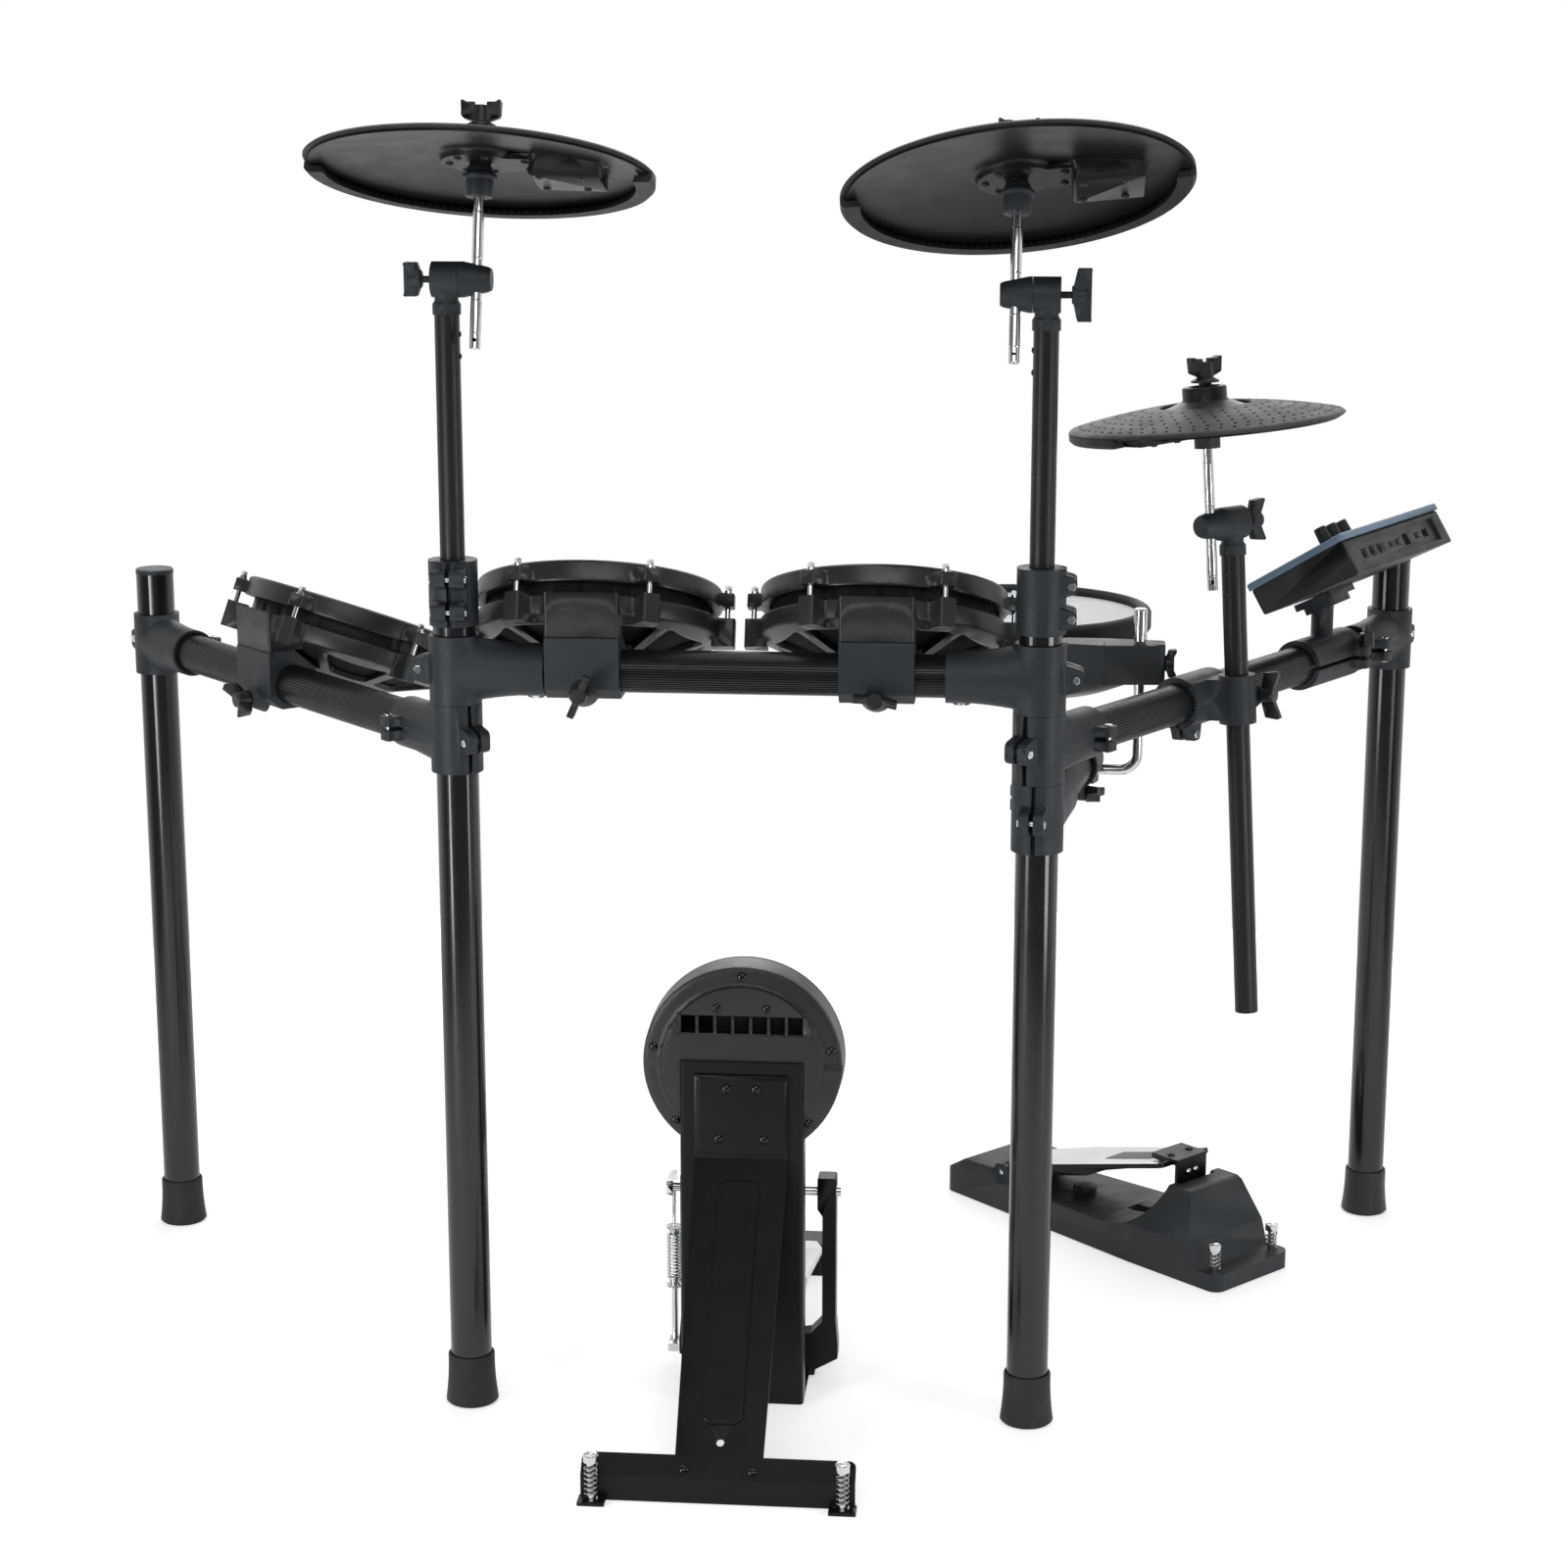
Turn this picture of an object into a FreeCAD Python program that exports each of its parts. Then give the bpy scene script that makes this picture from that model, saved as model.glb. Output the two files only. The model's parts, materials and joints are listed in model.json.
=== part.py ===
import FreeCAD, Part
import math
import os

# Electronic drum kit on a four-post rack, in millimetres. X runs to the right as an onlooker in
# front of the kit sees it, Y towards the drummer, Z up. The origin is on the floor, in the middle
# of the kit's box. Every piece is placed from a point on the floor midway between the inner posts.

V = FreeCAD.Vector
X_AXIS = V(1, 0, 0)
Y_AXIS = V(0, 1, 0)
Z_AXIS = V(0, 0, 1)
KIT_CENTRE = V(-15.2, 217.3, 0)

# Clearances
CLEAR = 0.3
SEAT = 0.15

# Rack
POST_R = 19.0
POST_WALL = 2.0
POST_SPACING = 518.0
INNER_POST_TOP = 780.0
LEFT_WING_LENGTH = 592.0
LEFT_WING_ANGLE = 132.5
LEFT_POST_TOP = 708.0
RIGHT_WING_LENGTH = 683.5
RIGHT_WING_ANGLE = 58.2
RIGHT_POST_TOP = 716.0
CENTRE_BAR_Z = 697.4
TEE_PITCH = 62.0
TEE_GAP = 0.4
TEE_R = 23.25
TEE_REACH = 82.0
BRANCH_R = 23.5
SOCKET_START = 29.0
FLARE_END = 68.0
EAR_GAP = 4.0
SLEEVE_EAR = (15.0, 30.0, 9.0)
BRANCH_EAR = (12.0, 24.0, 9.0)
BAR_R = 19.1
BAR_WALL = 2.6
BAR_RIBS = 52
RIB_DEPTH = 0.8
FOOT_HEIGHT = 48.0
FOOT_TOP_R = 21.6
FOOT_BASE_R = 24.5
FOOT_FLOOR = 6.0
CAP_HEIGHT = 5.0
CAP_R = 19.2
COLLAR_BASE = 737.0
COLLAR_TOP = 795.0
COLLAR_R = 21.8
COLLAR_EAR = (9.0, 22.0, 13.0)
COLLAR_EAR_PITCH = 29.0

# Cymbal arms, tilters and rods
ARM_R = 11.0
ARM_WALL = 1.5
ARM_BELOW_COLLAR = 150.0
CRASH_TILTER_Z = 1039.0
RIDE_TILTER_Z = 1029.0
CRASH_TILT = 15.2
RIDE_TILT = 21.6
HIHAT_TILT = -0.5
CRASH_ROLL = 1.6
RIDE_ROLL = -5.6
HIHAT_ROLL = 2.2
ROD_OFFSET = 27.0
ROD_R = 4.75
ROD_REACH = 92.0
ROD_TAIL = 60.0
ROD_TIP = 57.0
KNUCKLE_R = 15.5
KNUCKLE_HALF = 12.0
KNUCKLE_NECK = 21.0
ARM_HEAD_R = 12.4
ARM_HEAD_LENGTH = 12.0
CONE_END_R = 11.0
CONE_END = 40.0
TILT_BOLT_R = 3.0
TILT_BOLT_GAP = 9.0
SLEEVE_R = 6.0
SLEEVE_TOP = 40.0
BALL_R = 12.0
STOP_R = 12.0
STOP_LENGTH = 20.0
STOP_FLANGE_R = 15.0

# Cymbals
CYMBAL_R = 152.4
HIHAT_R = 127.0
CYMBAL_HOLE_R = 9.0
BELL_HOLE_R = 15.0
BOSS_R = 36.0
BOW_RISE = 15.0
SHELL_WALL = 2.5
PAD_THICK = 3.6
RIM_THICK = 4.2
BELL_R = 40.0
BELL_SHOULDER = 25.0
BELL_NECK_R = 20.5
BELL_TOP = 37.0
CHOKE_WIDTH = 17.0
CHOKE_DROP = 6.0
CHOKE_ARC = 190.0
CHOKE_WAY = 90.0
HIHAT_CHOKE_WAY = 270.0
JACK_BOX = (47.0, 108.0, 27.0)
JACK_BOX_DROP = 6.0
JACK_R = 4.6
NUT_R = 8.0
NUT_SKIRT_R = 13.0
NUT_WING = (36.0, 21.0, 9.0)
CRASH_WING = (30.0, 17.0, 12.0)
RIDE_WING = (46.0, 18.0, 9.0)
HIHAT_WING = (40.0, 19.0, 8.0)

# Hi-hat post
HIHAT_BAR_PLACE = 285.0
HIHAT_POST_OFFSET = 40.0
HIHAT_LEAN = 4.0
HIHAT_TURN = 220.0
HIHAT_POST_BELOW = 304.0
HIHAT_POST_ABOVE = 166.0
CROSS_RING_R = 25.0
CROSS_RING_LENGTH = 66.0
CROSS_RING_SHIFT = -12.0
CROSS_SLEEVE_R = 17.5
CROSS_SLEEVE_HEIGHT = 46.0
CROSS_WING = (46.0, 20.0, 7.0)

# Toms
TOM_PLACES = (-142.0, 117.0)
TOM_3_PLACE = 334.0
TOM_TILT = 22.0
TOM_BEHIND_BAR = 92.0
TOM_HEAD_Z = 751.0
TOM_R = 112.0
TOM_INNER_R = 101.0
TOM_LUG_CIRCLE = 117.5
TOM_LUGS = 6
TOM_HOOP_TOP = 6.0
TOM_HOOP_BASE = -13.0
TOM_RING_TOP = -25.0
TOM_RING_BASE = -40.0
TOM_BASKET_BASE = -66.0
TOM_BASKET_R = 46.0
TOM_WALL = 4.0
TOM_WINDOWS = 8
LUG_WIDTH = 21.0
LUG_DEPTH = 15.0
LUG_DROP = 9.0
HEAD_THICK = 1.2
CLAMP_WIDTH = 66.0
CLAMP_HALF_DEPTH = 25.0
CLAMP_TOP = 34.0
CLAMP_BASE = -23.0
CLAMP_BOSS = 6.0
CLAMP_SLIT = 4.0
CLAMP_WING = (40.0, 21.0, 6.0)
CLAMP_WING_TURNS = (112.0, 8.0, 38.0)
CLAMP_BOLT_DROP = 15.0
TOM_FOOT_HEIGHT = 60.0

# Snare
SNARE_ARM_ANGLE = 81.4
SNARE_BAR_END = 246.0
SNARE_CENTRE = (231.0, 440.0)
SNARE_R = 130.0
SNARE_RIM_R = 136.0
SNARE_RIM_TOP = 687.0
SNARE_RIM_HEIGHT = 22.0
SNARE_RING_DROP = 34.0
SNARE_RING_HEIGHT = 26.0
SNARE_LUGS = 6
L_ROD_R = 5.0
L_ROD_X = 352.0
L_ROD_Y = 262.0
L_ROD_Z = 558.0
L_ROD_BEND = 16.0
L_ROD_TOP = 716.0
L_ROD_CAP_R = 6.5
L_ROD_CAP_LENGTH = 32.0
SNARE_BRACKET = (98.0, 40.0, 38.0)
SNARE_BRACKET_TOP = 682.0
SNARE_KNOB = (28.0, 12.0, 9.0)
SNARE_CLAMP_HALF = 15.0
SNARE_CLAMP_WING = (34.0, 17.0, 7.0)

# Module
MODULE_FROM_POST = 170.5
MODULE_OVERHANG = 28.0
MODULE_YAW = 5.0
MODULE_TILT = 31.7
MODULE_TOP_Z = 757.5
MODULE_WIDTH = 250.0
MODULE_DEPTH = 106.0
MODULE_FRONT = 27.0
MODULE_REAR = 36.0
PANEL_THICK = 7.0
PANEL_LIP = 3.0
MODULE_CORNER = 5.0
MODULE_KNOB_R = 6.5
MODULE_KNOB_HEIGHT = 15.0
MODULE_KNOB_START = (-114.0, -34.0)
MODULE_KNOB_PITCH = 26.0
MODULE_CLAMP_LENGTH = 100.0
MODULE_CLAMP_FROM_POST = 153.0
MODULE_CLAMP_EAR = 16.0
MODULE_STEM_R = 11.0
MODULE_PLATES = ((66.0, 42.0, 7.0), (46.0, 34.0, 7.0))
MODULE_WING = (42.0, 19.0, 7.0)

# Kick tower
KICK_X = -6.0
TOWER_WIDTH = 114.0
TOWER_HEIGHT = 333.0
TOWER_FRONT = 13.0
SHEET = 3.0
TOWER_FLANGE = 24.0
TOWER_BASE_DEPTH = 92.0
KICK_PAD_R = 92.5
KICK_PAD_Z = 329.0
KICK_HOUSING_DEPTH = 38.0
KICK_FACE_DEPTH = 9.0
KICK_DISC_R = 75.0
VENTS = 7
VENT_SIZE = (13.6, 17.0)
VENT_PITCH = 16.4
VENT_Z = 38.0
LEG_TOP_WIDTH = 86.0
LEG_FOOT_WIDTH = 76.0
LEG_TOP = 321.0
LEG_BEND = 241.0
LEG_FOOT_Y = -193.0
LEG_FOOT_Z = 21.4
FOOT_BAR_WIDTH = 240.0
FOOT_BAR_FRONT = -200.0
FOOT_BAR_FLANGE = 14.5
FOOT_BAR_CORNER = 6.0
FOOT_BAR_TAB = (24.0, 14.0)
EMBOSS = (37.0, 231.0, 3.0)
EMBOSS_START = 23.5
LEG_HOLE_BELOW = 15.7
LEG_HOLE_R = 3.5
ANCHOR_PLACE = 109.5
ANCHOR_R = 3.5
ANCHOR_HEAD_R = 6.5
ANCHOR_HEIGHT = 46.0
ANCHOR_HEAD = 7.0
ANCHOR_TURNS = 6
ANCHOR_WIRE_R = 0.9
ANCHOR_COIL_R = 5.2

# Kick pedal
SHAFT_Y = 84.0
SHAFT_Z = 186.0
SHAFT_R = 5.0
PEDAL_SHIFT = 9.0
PEDAL_HALF = 73.7
PEDAL_POST_WIDE = 12.8
PEDAL_POST_DEEP = 20.0
BEARING_WIDE = 17.6
BEARING_RISE = 15.5
PEDAL_FOOT = (36.0, 54.0)
PEDAL_BASE_TOP = 20.0
RADIUS_ROD_R = 4.0
RADIUS_ROD_X = 26.0
RADIUS_ROD_Z = 11.0
BEATER_LENGTH = 143.0
BEATER_REST = 38.0
BEATER_ROD_R = 4.0
BEATER_HEAD_R = 20.0
BEATER_HEAD_LENGTH = 34.0
CAM_REACH = 36.0
PIN_R = 3.0
OPEN_PIVOT_CLEAR = 2.2
TOE_Y = 50.0
TOE_Z = 92.0
HEEL_Y = 345.0
HEEL_Z = 24.0
BOARD_WIDTH = 88.0
BOARD_THICK = 6.0
LINK_WIDTH = 12.0
LINK_THICK = 4.0
ROCKER_X = -78.0
ROCKER_REACH = 26.0
SPRING_TURNS = 14
SPRING_WIRE_R = 1.2
SPRING_COIL_R = 6.5
SPRING_LENGTH = 57.0
SPRING_HOOK = 46.0
WIRE_BEND = 2.4
GAP_POINTS = 9

# Hi-hat control pedal
HH_TOE = (487.5, 362.0)
HH_ANGLE = 137.0
HH_WIDTH = 117.0
HH_HEEL_WIDTH = 92.0
HH_LENGTH = 404.0
HH_LEDGE = 18.0
HH_HUMP = 90.0
HH_HUMP_WIDTH = 72.0
HH_DECK = 34.0
HH_HEEL_RISE = 10.0
HH_SLOT = (118.0, 168.0, 18.0)
HH_BRACKET_ROOM = (78.0, 112.0, 54.0)
HH_PIVOT = (322.0, 40.0)
HH_BOARD_TOE = (94.0, 101.0)
HH_BOARD_WIDTH = 84.0
HH_BOARD_THICK = 5.0
HH_PRESS_ROOM = 30.0
HH_ANCHOR = (15.0, 45.0)
HH_ANCHOR_TURNS = 3

# Places worked out from the sizes above
TEE_HEIGHT = TEE_PITCH - TEE_GAP
WING_BAR_Z = CENTRE_BAR_Z - TEE_PITCH
SNARE_BAR_Z = WING_BAR_Z - TEE_PITCH
LEFT_INNER = V(-POST_SPACING / 2, 0, 0)
RIGHT_INNER = V(POST_SPACING / 2, 0, 0)


def heading(degrees):
    """Level unit vector at an angle from +X, seen from above."""
    return V(math.cos(math.radians(degrees)), math.sin(math.radians(degrees)), 0)


LEFT_WAY = heading(LEFT_WING_ANGLE)
RIGHT_WAY = heading(RIGHT_WING_ANGLE)
SNARE_WAY = heading(SNARE_ARM_ANGLE)
LEFT_OUTER = LEFT_INNER + LEFT_WAY * LEFT_WING_LENGTH
RIGHT_OUTER = RIGHT_INNER + RIGHT_WAY * RIGHT_WING_LENGTH
HIHAT_FRONT = heading(RIGHT_WING_ANGLE - 90)
HIHAT_BAR = RIGHT_INNER + RIGHT_WAY * HIHAT_BAR_PLACE + V(0, 0, WING_BAR_Z)
HIHAT_UP = Z_AXIS * math.cos(math.radians(HIHAT_LEAN)) - HIHAT_FRONT * math.sin(math.radians(HIHAT_LEAN))
HIHAT_OUT = HIHAT_UP.cross(RIGHT_WAY) * -1
CRASH_TILTER = LEFT_INNER + V(0, 0, CRASH_TILTER_Z)
RIDE_TILTER = RIGHT_INNER + V(0, 0, RIDE_TILTER_Z)
HIHAT_TILTER = HIHAT_BAR + HIHAT_OUT * HIHAT_POST_OFFSET + HIHAT_UP * HIHAT_POST_ABOVE
SNARE_END_CLAMP = RIGHT_INNER + SNARE_WAY * (L_ROD_Y / SNARE_WAY.y) + V(0, 0, SNARE_BAR_Z)
TOWER_BACK = TOWER_FRONT + SHEET
PEDAL_X = KICK_X + PEDAL_SHIFT
KICK_FACE_Y = TOWER_BACK + KICK_HOUSING_DEPTH + KICK_FACE_DEPTH
HH_WAY = heading(HH_ANGLE)
HH_SIDE = heading(HH_ANGLE - 90)
HH_ORIGIN = V(HH_TOE[0], HH_TOE[1], 0)


def rod_way(tilt):
    """Direction of a cymbal rod that leans towards the drummer."""
    return V(0, math.sin(math.radians(tilt)), math.cos(math.radians(tilt)))


def place(shape, origin, z_way=Z_AXIS, x_way=X_AXIS):
    """Copy of a shape with its own Z and X turned along the two directions."""
    z = V(z_way).normalize()
    y = z.cross(x_way).normalize()
    x = y.cross(z)
    rows = (x.x, y.x, z.x, origin.x, x.y, y.y, z.y, origin.y, x.z, y.z, z.z, origin.z, 0, 0, 0, 1)
    moved = shape.copy()
    moved.Placement = FreeCAD.Placement(FreeCAD.Matrix(*rows)).multiply(shape.Placement)
    return moved


def tube(outer, inner, length, base=V(), way=Z_AXIS):
    """Round tube from its base along a direction."""
    return Part.makeCylinder(outer, length, base, way).cut(Part.makeCylinder(inner, length, base, way))


def rod(radius, start, finish):
    """Round bar between two points."""
    return Part.makeCylinder(radius, (finish - start).Length, start, finish - start)


def block(low, high):
    """Box between two corners."""
    return Part.makeBox(high[0] - low[0], high[1] - low[1], high[2] - low[2], V(*low))


def rounded_wire(corners, radius):
    """Closed outline through XY corners, with every corner rounded."""
    bends = []
    for i, corner in enumerate(corners):
        here = V(*corner, 0)
        back = (V(*corners[i - 1], 0) - here).normalize()
        ahead = (V(*corners[(i + 1) % len(corners)], 0) - here).normalize()
        half = back.getAngle(ahead) / 2
        reach = radius / math.tan(half)
        crown = here + (back + ahead).normalize() * (radius / math.sin(half) - radius)
        bends.append((here + back * reach, crown, here + ahead * reach))
    edges = []
    for i, (start, crown, finish) in enumerate(bends):
        edges.append(Part.Arc(start, crown, finish).toShape())
        follow = bends[(i + 1) % len(bends)][0]
        if (follow - finish).Length > 1e-6:
            edges.append(Part.LineSegment(finish, follow).toShape())
    return Part.Wire(edges)


def plate(corners, radius, thickness):
    """Flat plate with rounded corners, from Z 0 up."""
    return Part.Face(rounded_wire(corners, radius)).extrude(V(0, 0, thickness))


def prism(corners, thickness):
    """Flat plate with sharp corners, from Z 0 up."""
    points = [V(a, b, 0) for a, b in corners]
    return Part.Face(Part.makePolygon(points + points[:1])).extrude(V(0, 0, thickness))


def lathe(start, *steps):
    """Solid turned about Z from a (radius, height) outline of lines and three-point arcs."""
    edges = []
    here = V(start[0], 0, start[1])
    for step in steps + (start,):
        if isinstance(step[0], tuple):
            middle = V(step[0][0], 0, step[0][1])
            finish = V(step[1][0], 0, step[1][1])
            edges.append(Part.Arc(here, middle, finish).toShape())
        else:
            finish = V(step[0], 0, step[1])
            edges.append(Part.LineSegment(here, finish).toShape())
        here = finish
    return Part.Face(Part.Wire(edges)).revolve(V(), Z_AXIS, 360)


def fused(first, *others):
    """One solid from several that meet."""
    return first.fuse(list(others)).removeSplitter()


def ear_pair(radius, size):
    """Two clamp ears either side of a slit, on a sleeve about Z, pointing along +X."""
    reach, height, thick = size
    tip = radius + reach
    slope = height * 0.22
    root = radius * 0.72
    outline = [(root, -height / 2), (tip, -height / 2 + slope), (tip, height / 2 - slope), (root, height / 2)]
    ear = plate(outline, height * 0.18, thick)
    near = place(ear, V(0, -EAR_GAP / 2, 0), -Y_AXIS)
    far = place(ear, V(0, EAR_GAP / 2 + thick, 0), -Y_AXIS)
    return near, far


def ear_slit(radius, size, height):
    """Slot that splits a sleeve and parts its ears."""
    return block((0, -EAR_GAP / 2, -height / 2), (radius + size[0] + 1, EAR_GAP / 2, height / 2))


def oval(x, half_height, half_width):
    """Upright oval section across the X axis."""
    return Part.Wire(Part.Ellipse(V(x, 0, half_height), V(x, half_width, 0), V(x, 0, 0)).toShape())


def tee(post_clear, ear_way):
    """Tee clamp about the origin: sleeve on Z, socket along +X, socket ears along ear_way."""
    sleeve = Part.makeCylinder(TEE_R, TEE_HEIGHT, V(0, 0, -TEE_HEIGHT / 2))
    branch = Part.makeCylinder(BRANCH_R, TEE_REACH, V(), X_AXIS)
    root = oval(POST_R * 0.6, TEE_HEIGHT / 2 - 0.6, TEE_R * 0.93)
    waist = oval((POST_R + FLARE_END) * 0.42, (TEE_HEIGHT / 2 + BRANCH_R) * 0.475, BRANCH_R * 0.98)
    flare = Part.makeLoft([root, waist, oval(FLARE_END, BRANCH_R - 0.6, BRANCH_R - 0.8)], True)
    body = fused(sleeve, branch, flare)
    back_ears = [place(e, V(), Z_AXIS, -X_AXIS) for e in ear_pair(TEE_R, SLEEVE_EAR)]
    ear_place = V(TEE_REACH - BRANCH_EAR[1] / 2 - 1, 0, 0)
    side_ears = [place(e, ear_place, X_AXIS, ear_way) for e in ear_pair(BRANCH_R, BRANCH_EAR)]
    body = fused(body, *back_ears, *side_ears)
    body = body.cut(Part.makeCylinder(POST_R + post_clear, TEE_HEIGHT, V(0, 0, -TEE_HEIGHT / 2)))
    body = body.cut(Part.makeCylinder(BAR_R + SEAT, TEE_REACH, V(SOCKET_START, 0, 0), X_AXIS))
    body = body.cut(place(ear_slit(TEE_R, SLEEVE_EAR, TEE_HEIGHT), V(), Z_AXIS, -X_AXIS))
    socket_slit = ear_slit(BRANCH_R, BRANCH_EAR, BRANCH_EAR[1] + 8)
    return body.cut(place(socket_slit, ear_place + X_AXIS * 2, X_AXIS, ear_way))


def ribbed_bar(length):
    """Hollow bar along Z with fine ribs all round."""
    points = []
    step = 2 * math.pi / BAR_RIBS

    def at(radius, turn):
        return V(radius * math.cos(turn * step), radius * math.sin(turn * step), 0)

    for i in range(BAR_RIBS):
        points += [at(BAR_R, i), at(BAR_R, i + 0.55), at(BAR_R - RIB_DEPTH, i + 0.7), at(BAR_R - RIB_DEPTH, i + 0.85)]
    bore = Part.Face(Part.Wire(Part.makeCircle(BAR_R - BAR_WALL)))
    return Part.Face(Part.makePolygon(points + points[:1])).cut(bore).extrude(V(0, 0, length))


def bar_between(post, way, length, height):
    """Ribbed bar seated in the sockets of two tees."""
    seat = SOCKET_START + SEAT
    start = post + way * seat + V(0, 0, height)
    return place(ribbed_bar(length - 2 * seat), start, way, Z_AXIS)


def post(at, top):
    """Post tube standing in its foot."""
    return tube(POST_R, POST_R - POST_WALL, top - FOOT_FLOOR, at + V(0, 0, FOOT_FLOOR))


def foot(at):
    """Flared rubber foot with a socket for the post."""
    body = lathe((0, 0), (FOOT_BASE_R - 2, 0), (FOOT_BASE_R, 2), ((FOOT_BASE_R - 2.2, FOOT_HEIGHT * 0.45),
                 (FOOT_TOP_R, FOOT_HEIGHT - 1.5)), (FOOT_TOP_R - 1, FOOT_HEIGHT), (0, FOOT_HEIGHT))
    socket = Part.makeCylinder(POST_R + SEAT, FOOT_HEIGHT, V(0, 0, FOOT_FLOOR))
    return place(body.cut(socket), at)


def end_cap(at, top):
    """Flat cap with a plug that fits the post's bore."""
    plug = POST_R - POST_WALL - SEAT
    cap = lathe((0, -12), (plug, -12), (plug, 0), (CAP_R, 0), (CAP_R, CAP_HEIGHT - 1.0),
                (CAP_R - 1.0, CAP_HEIGHT), (0, CAP_HEIGHT))
    return place(cap, at + V(0, 0, top))


def collar(at, ear_way):
    """Reducing clamp on a post's top, with a bush that guides the cymbal arm."""
    height = COLLAR_TOP - COLLAR_BASE
    body = Part.makeCylinder(COLLAR_R, height)
    ears = []
    for side in (-0.5, 0.5):
        middle = V(0, 0, height / 2 + side * COLLAR_EAR_PITCH)
        ears += [place(e, middle) for e in ear_pair(COLLAR_R, COLLAR_EAR)]
    body = fused(body, *ears)
    post_depth = INNER_POST_TOP + SEAT - COLLAR_BASE
    body = body.cut(tube(POST_R + SEAT, POST_R - POST_WALL - SEAT, post_depth))
    body = body.cut(Part.makeCylinder(ARM_R + CLEAR, height))
    slit = place(ear_slit(COLLAR_R, COLLAR_EAR, height), V(0, 0, height / 2))
    bush_room = Part.makeCylinder(POST_R - POST_WALL, height)
    body = body.cut(slit.cut(bush_room))
    return place(body, at + V(0, 0, COLLAR_BASE), Z_AXIS, ear_way)


def wing_bolt(shank, wing, shank_r=TILT_BOLT_R):
    """Wing bolt about Z: its shank below Z 0, its two wings above."""
    span, height, thick = wing
    hub = lathe((0, 0), (NUT_R - 1, 0), (NUT_R, 1), (NUT_R - 1, height * 0.7), (0, height * 0.7))
    half = span / 2
    outline = [(-half * 0.92, height * 0.25), (-NUT_R * 0.7, 1), (NUT_R * 0.7, 1), (half * 0.92, height * 0.25),
               (half, height), (NUT_R * 0.7, height * 0.66), (-NUT_R * 0.7, height * 0.66), (-half, height)]
    wings = place(plate(outline, 1.6, thick), V(0, thick / 2, 0), -Y_AXIS)
    return fused(hub, wings, Part.makeCylinder(shank_r, shank + 1, V(0, 0, -shank)))


def arm_head(side):
    """Knuckle on an arm's top about the tilt axis; the rod clamp sits on the given side in X."""
    way = X_AXIS * side
    barrel = Part.makeCylinder(KNUCKLE_R, 2 * KNUCKLE_HALF, way * -KNUCKLE_HALF, way)
    neck = Part.makeCylinder(ARM_HEAD_R - 2, KNUCKLE_NECK, V(0, 0, -KNUCKLE_NECK))
    sleeve = lathe((0, 0), (ARM_HEAD_R, 0), (ARM_HEAD_R, ARM_HEAD_LENGTH - 3), (ARM_HEAD_R - 2, ARM_HEAD_LENGTH),
                   (0, ARM_HEAD_LENGTH))
    head = fused(barrel, neck, place(sleeve, V(0, 0, -KNUCKLE_NECK - ARM_HEAD_LENGTH + 3)))
    return head.cut(Part.makeCylinder(TILT_BOLT_R + SEAT, 2 * KNUCKLE_HALF, way * -KNUCKLE_HALF, way))


def arm(drop, side, wing):
    """Cymbal arm below its tilt axis: tube, knuckle and the wing bolt that locks the tilt."""
    head_base = -KNUCKLE_NECK - ARM_HEAD_LENGTH + 3
    shaft = tube(ARM_R, ARM_R - ARM_WALL, drop + head_base, V(0, 0, -drop))
    bolt = wing_bolt(TILT_BOLT_GAP + 2 * KNUCKLE_HALF - 1, wing)
    bolt_base = X_AXIS * -side * (KNUCKLE_HALF + TILT_BOLT_GAP)
    return [shaft, arm_head(side), place(bolt, bolt_base, X_AXIS * -side, Z_AXIS)]


def rod_set(tilt, side):
    """Rod beside the tilt axis's centre, with its conical clamp, ball seat and sleeve."""
    way = rod_way(tilt)
    hub = X_AXIS * side * ROD_OFFSET
    start = -(ROD_OFFSET - KNUCKLE_HALF - CLEAR)
    finish = CONE_END - ROD_OFFSET
    cone = lathe((0, start), (KNUCKLE_R, start), (KNUCKLE_R, start + 3), (CONE_END_R, finish - 3),
                 (CONE_END_R - 1.5, finish), (0, finish))
    cone = cone.cut(Part.makeCylinder(TILT_BOLT_R + SEAT, 5, V(0, 0, start)))
    cone = place(cone, hub, X_AXIS * side, Z_AXIS)
    bar = rod(ROD_R, hub - way * ROD_TAIL, hub + way * (ROD_REACH + ROD_TIP))
    cone = cone.cut(rod(ROD_R + SEAT, hub - way * 40, hub + way * 40))
    ball_edge = math.sqrt(BALL_R ** 2 - SLEEVE_R ** 2)
    seat = lathe((ROD_R + SEAT, -STOP_LENGTH), (STOP_R, -STOP_LENGTH), (STOP_R, -6), (STOP_FLANGE_R, -4),
                 (STOP_FLANGE_R, -1), (BALL_R, 0), ((BALL_R * 0.924, BALL_R * 0.383), (SLEEVE_R, ball_edge)),
                 (SLEEVE_R, SLEEVE_TOP), (ROD_R + SEAT, SLEEVE_TOP))
    return [bar, cone, place(seat, cymbal_pivot(tilt, side), way)]


def cymbal_pivot(tilt, side):
    """Centre of the ball that a cymbal rocks on, from the tilt axis's centre."""
    return X_AXIS * side * ROD_OFFSET + rod_way(tilt) * ROD_REACH


def cymbal_axes(tilt, roll):
    """Normal and X direction of a cymbal that leans to the drummer and sags to one side."""
    turn = FreeCAD.Rotation(Y_AXIS, roll)
    tip = FreeCAD.Rotation(X_AXIS, -tilt)
    whole = tip.multiply(turn)
    return whole.multVec(Z_AXIS), whole.multVec(X_AXIS)


def bow_height(radius, r):
    """Height of a cymbal's underside at a radius, over its edge."""
    share = (radius - r) / (radius - BOSS_R)
    return BOW_RISE * share


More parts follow.
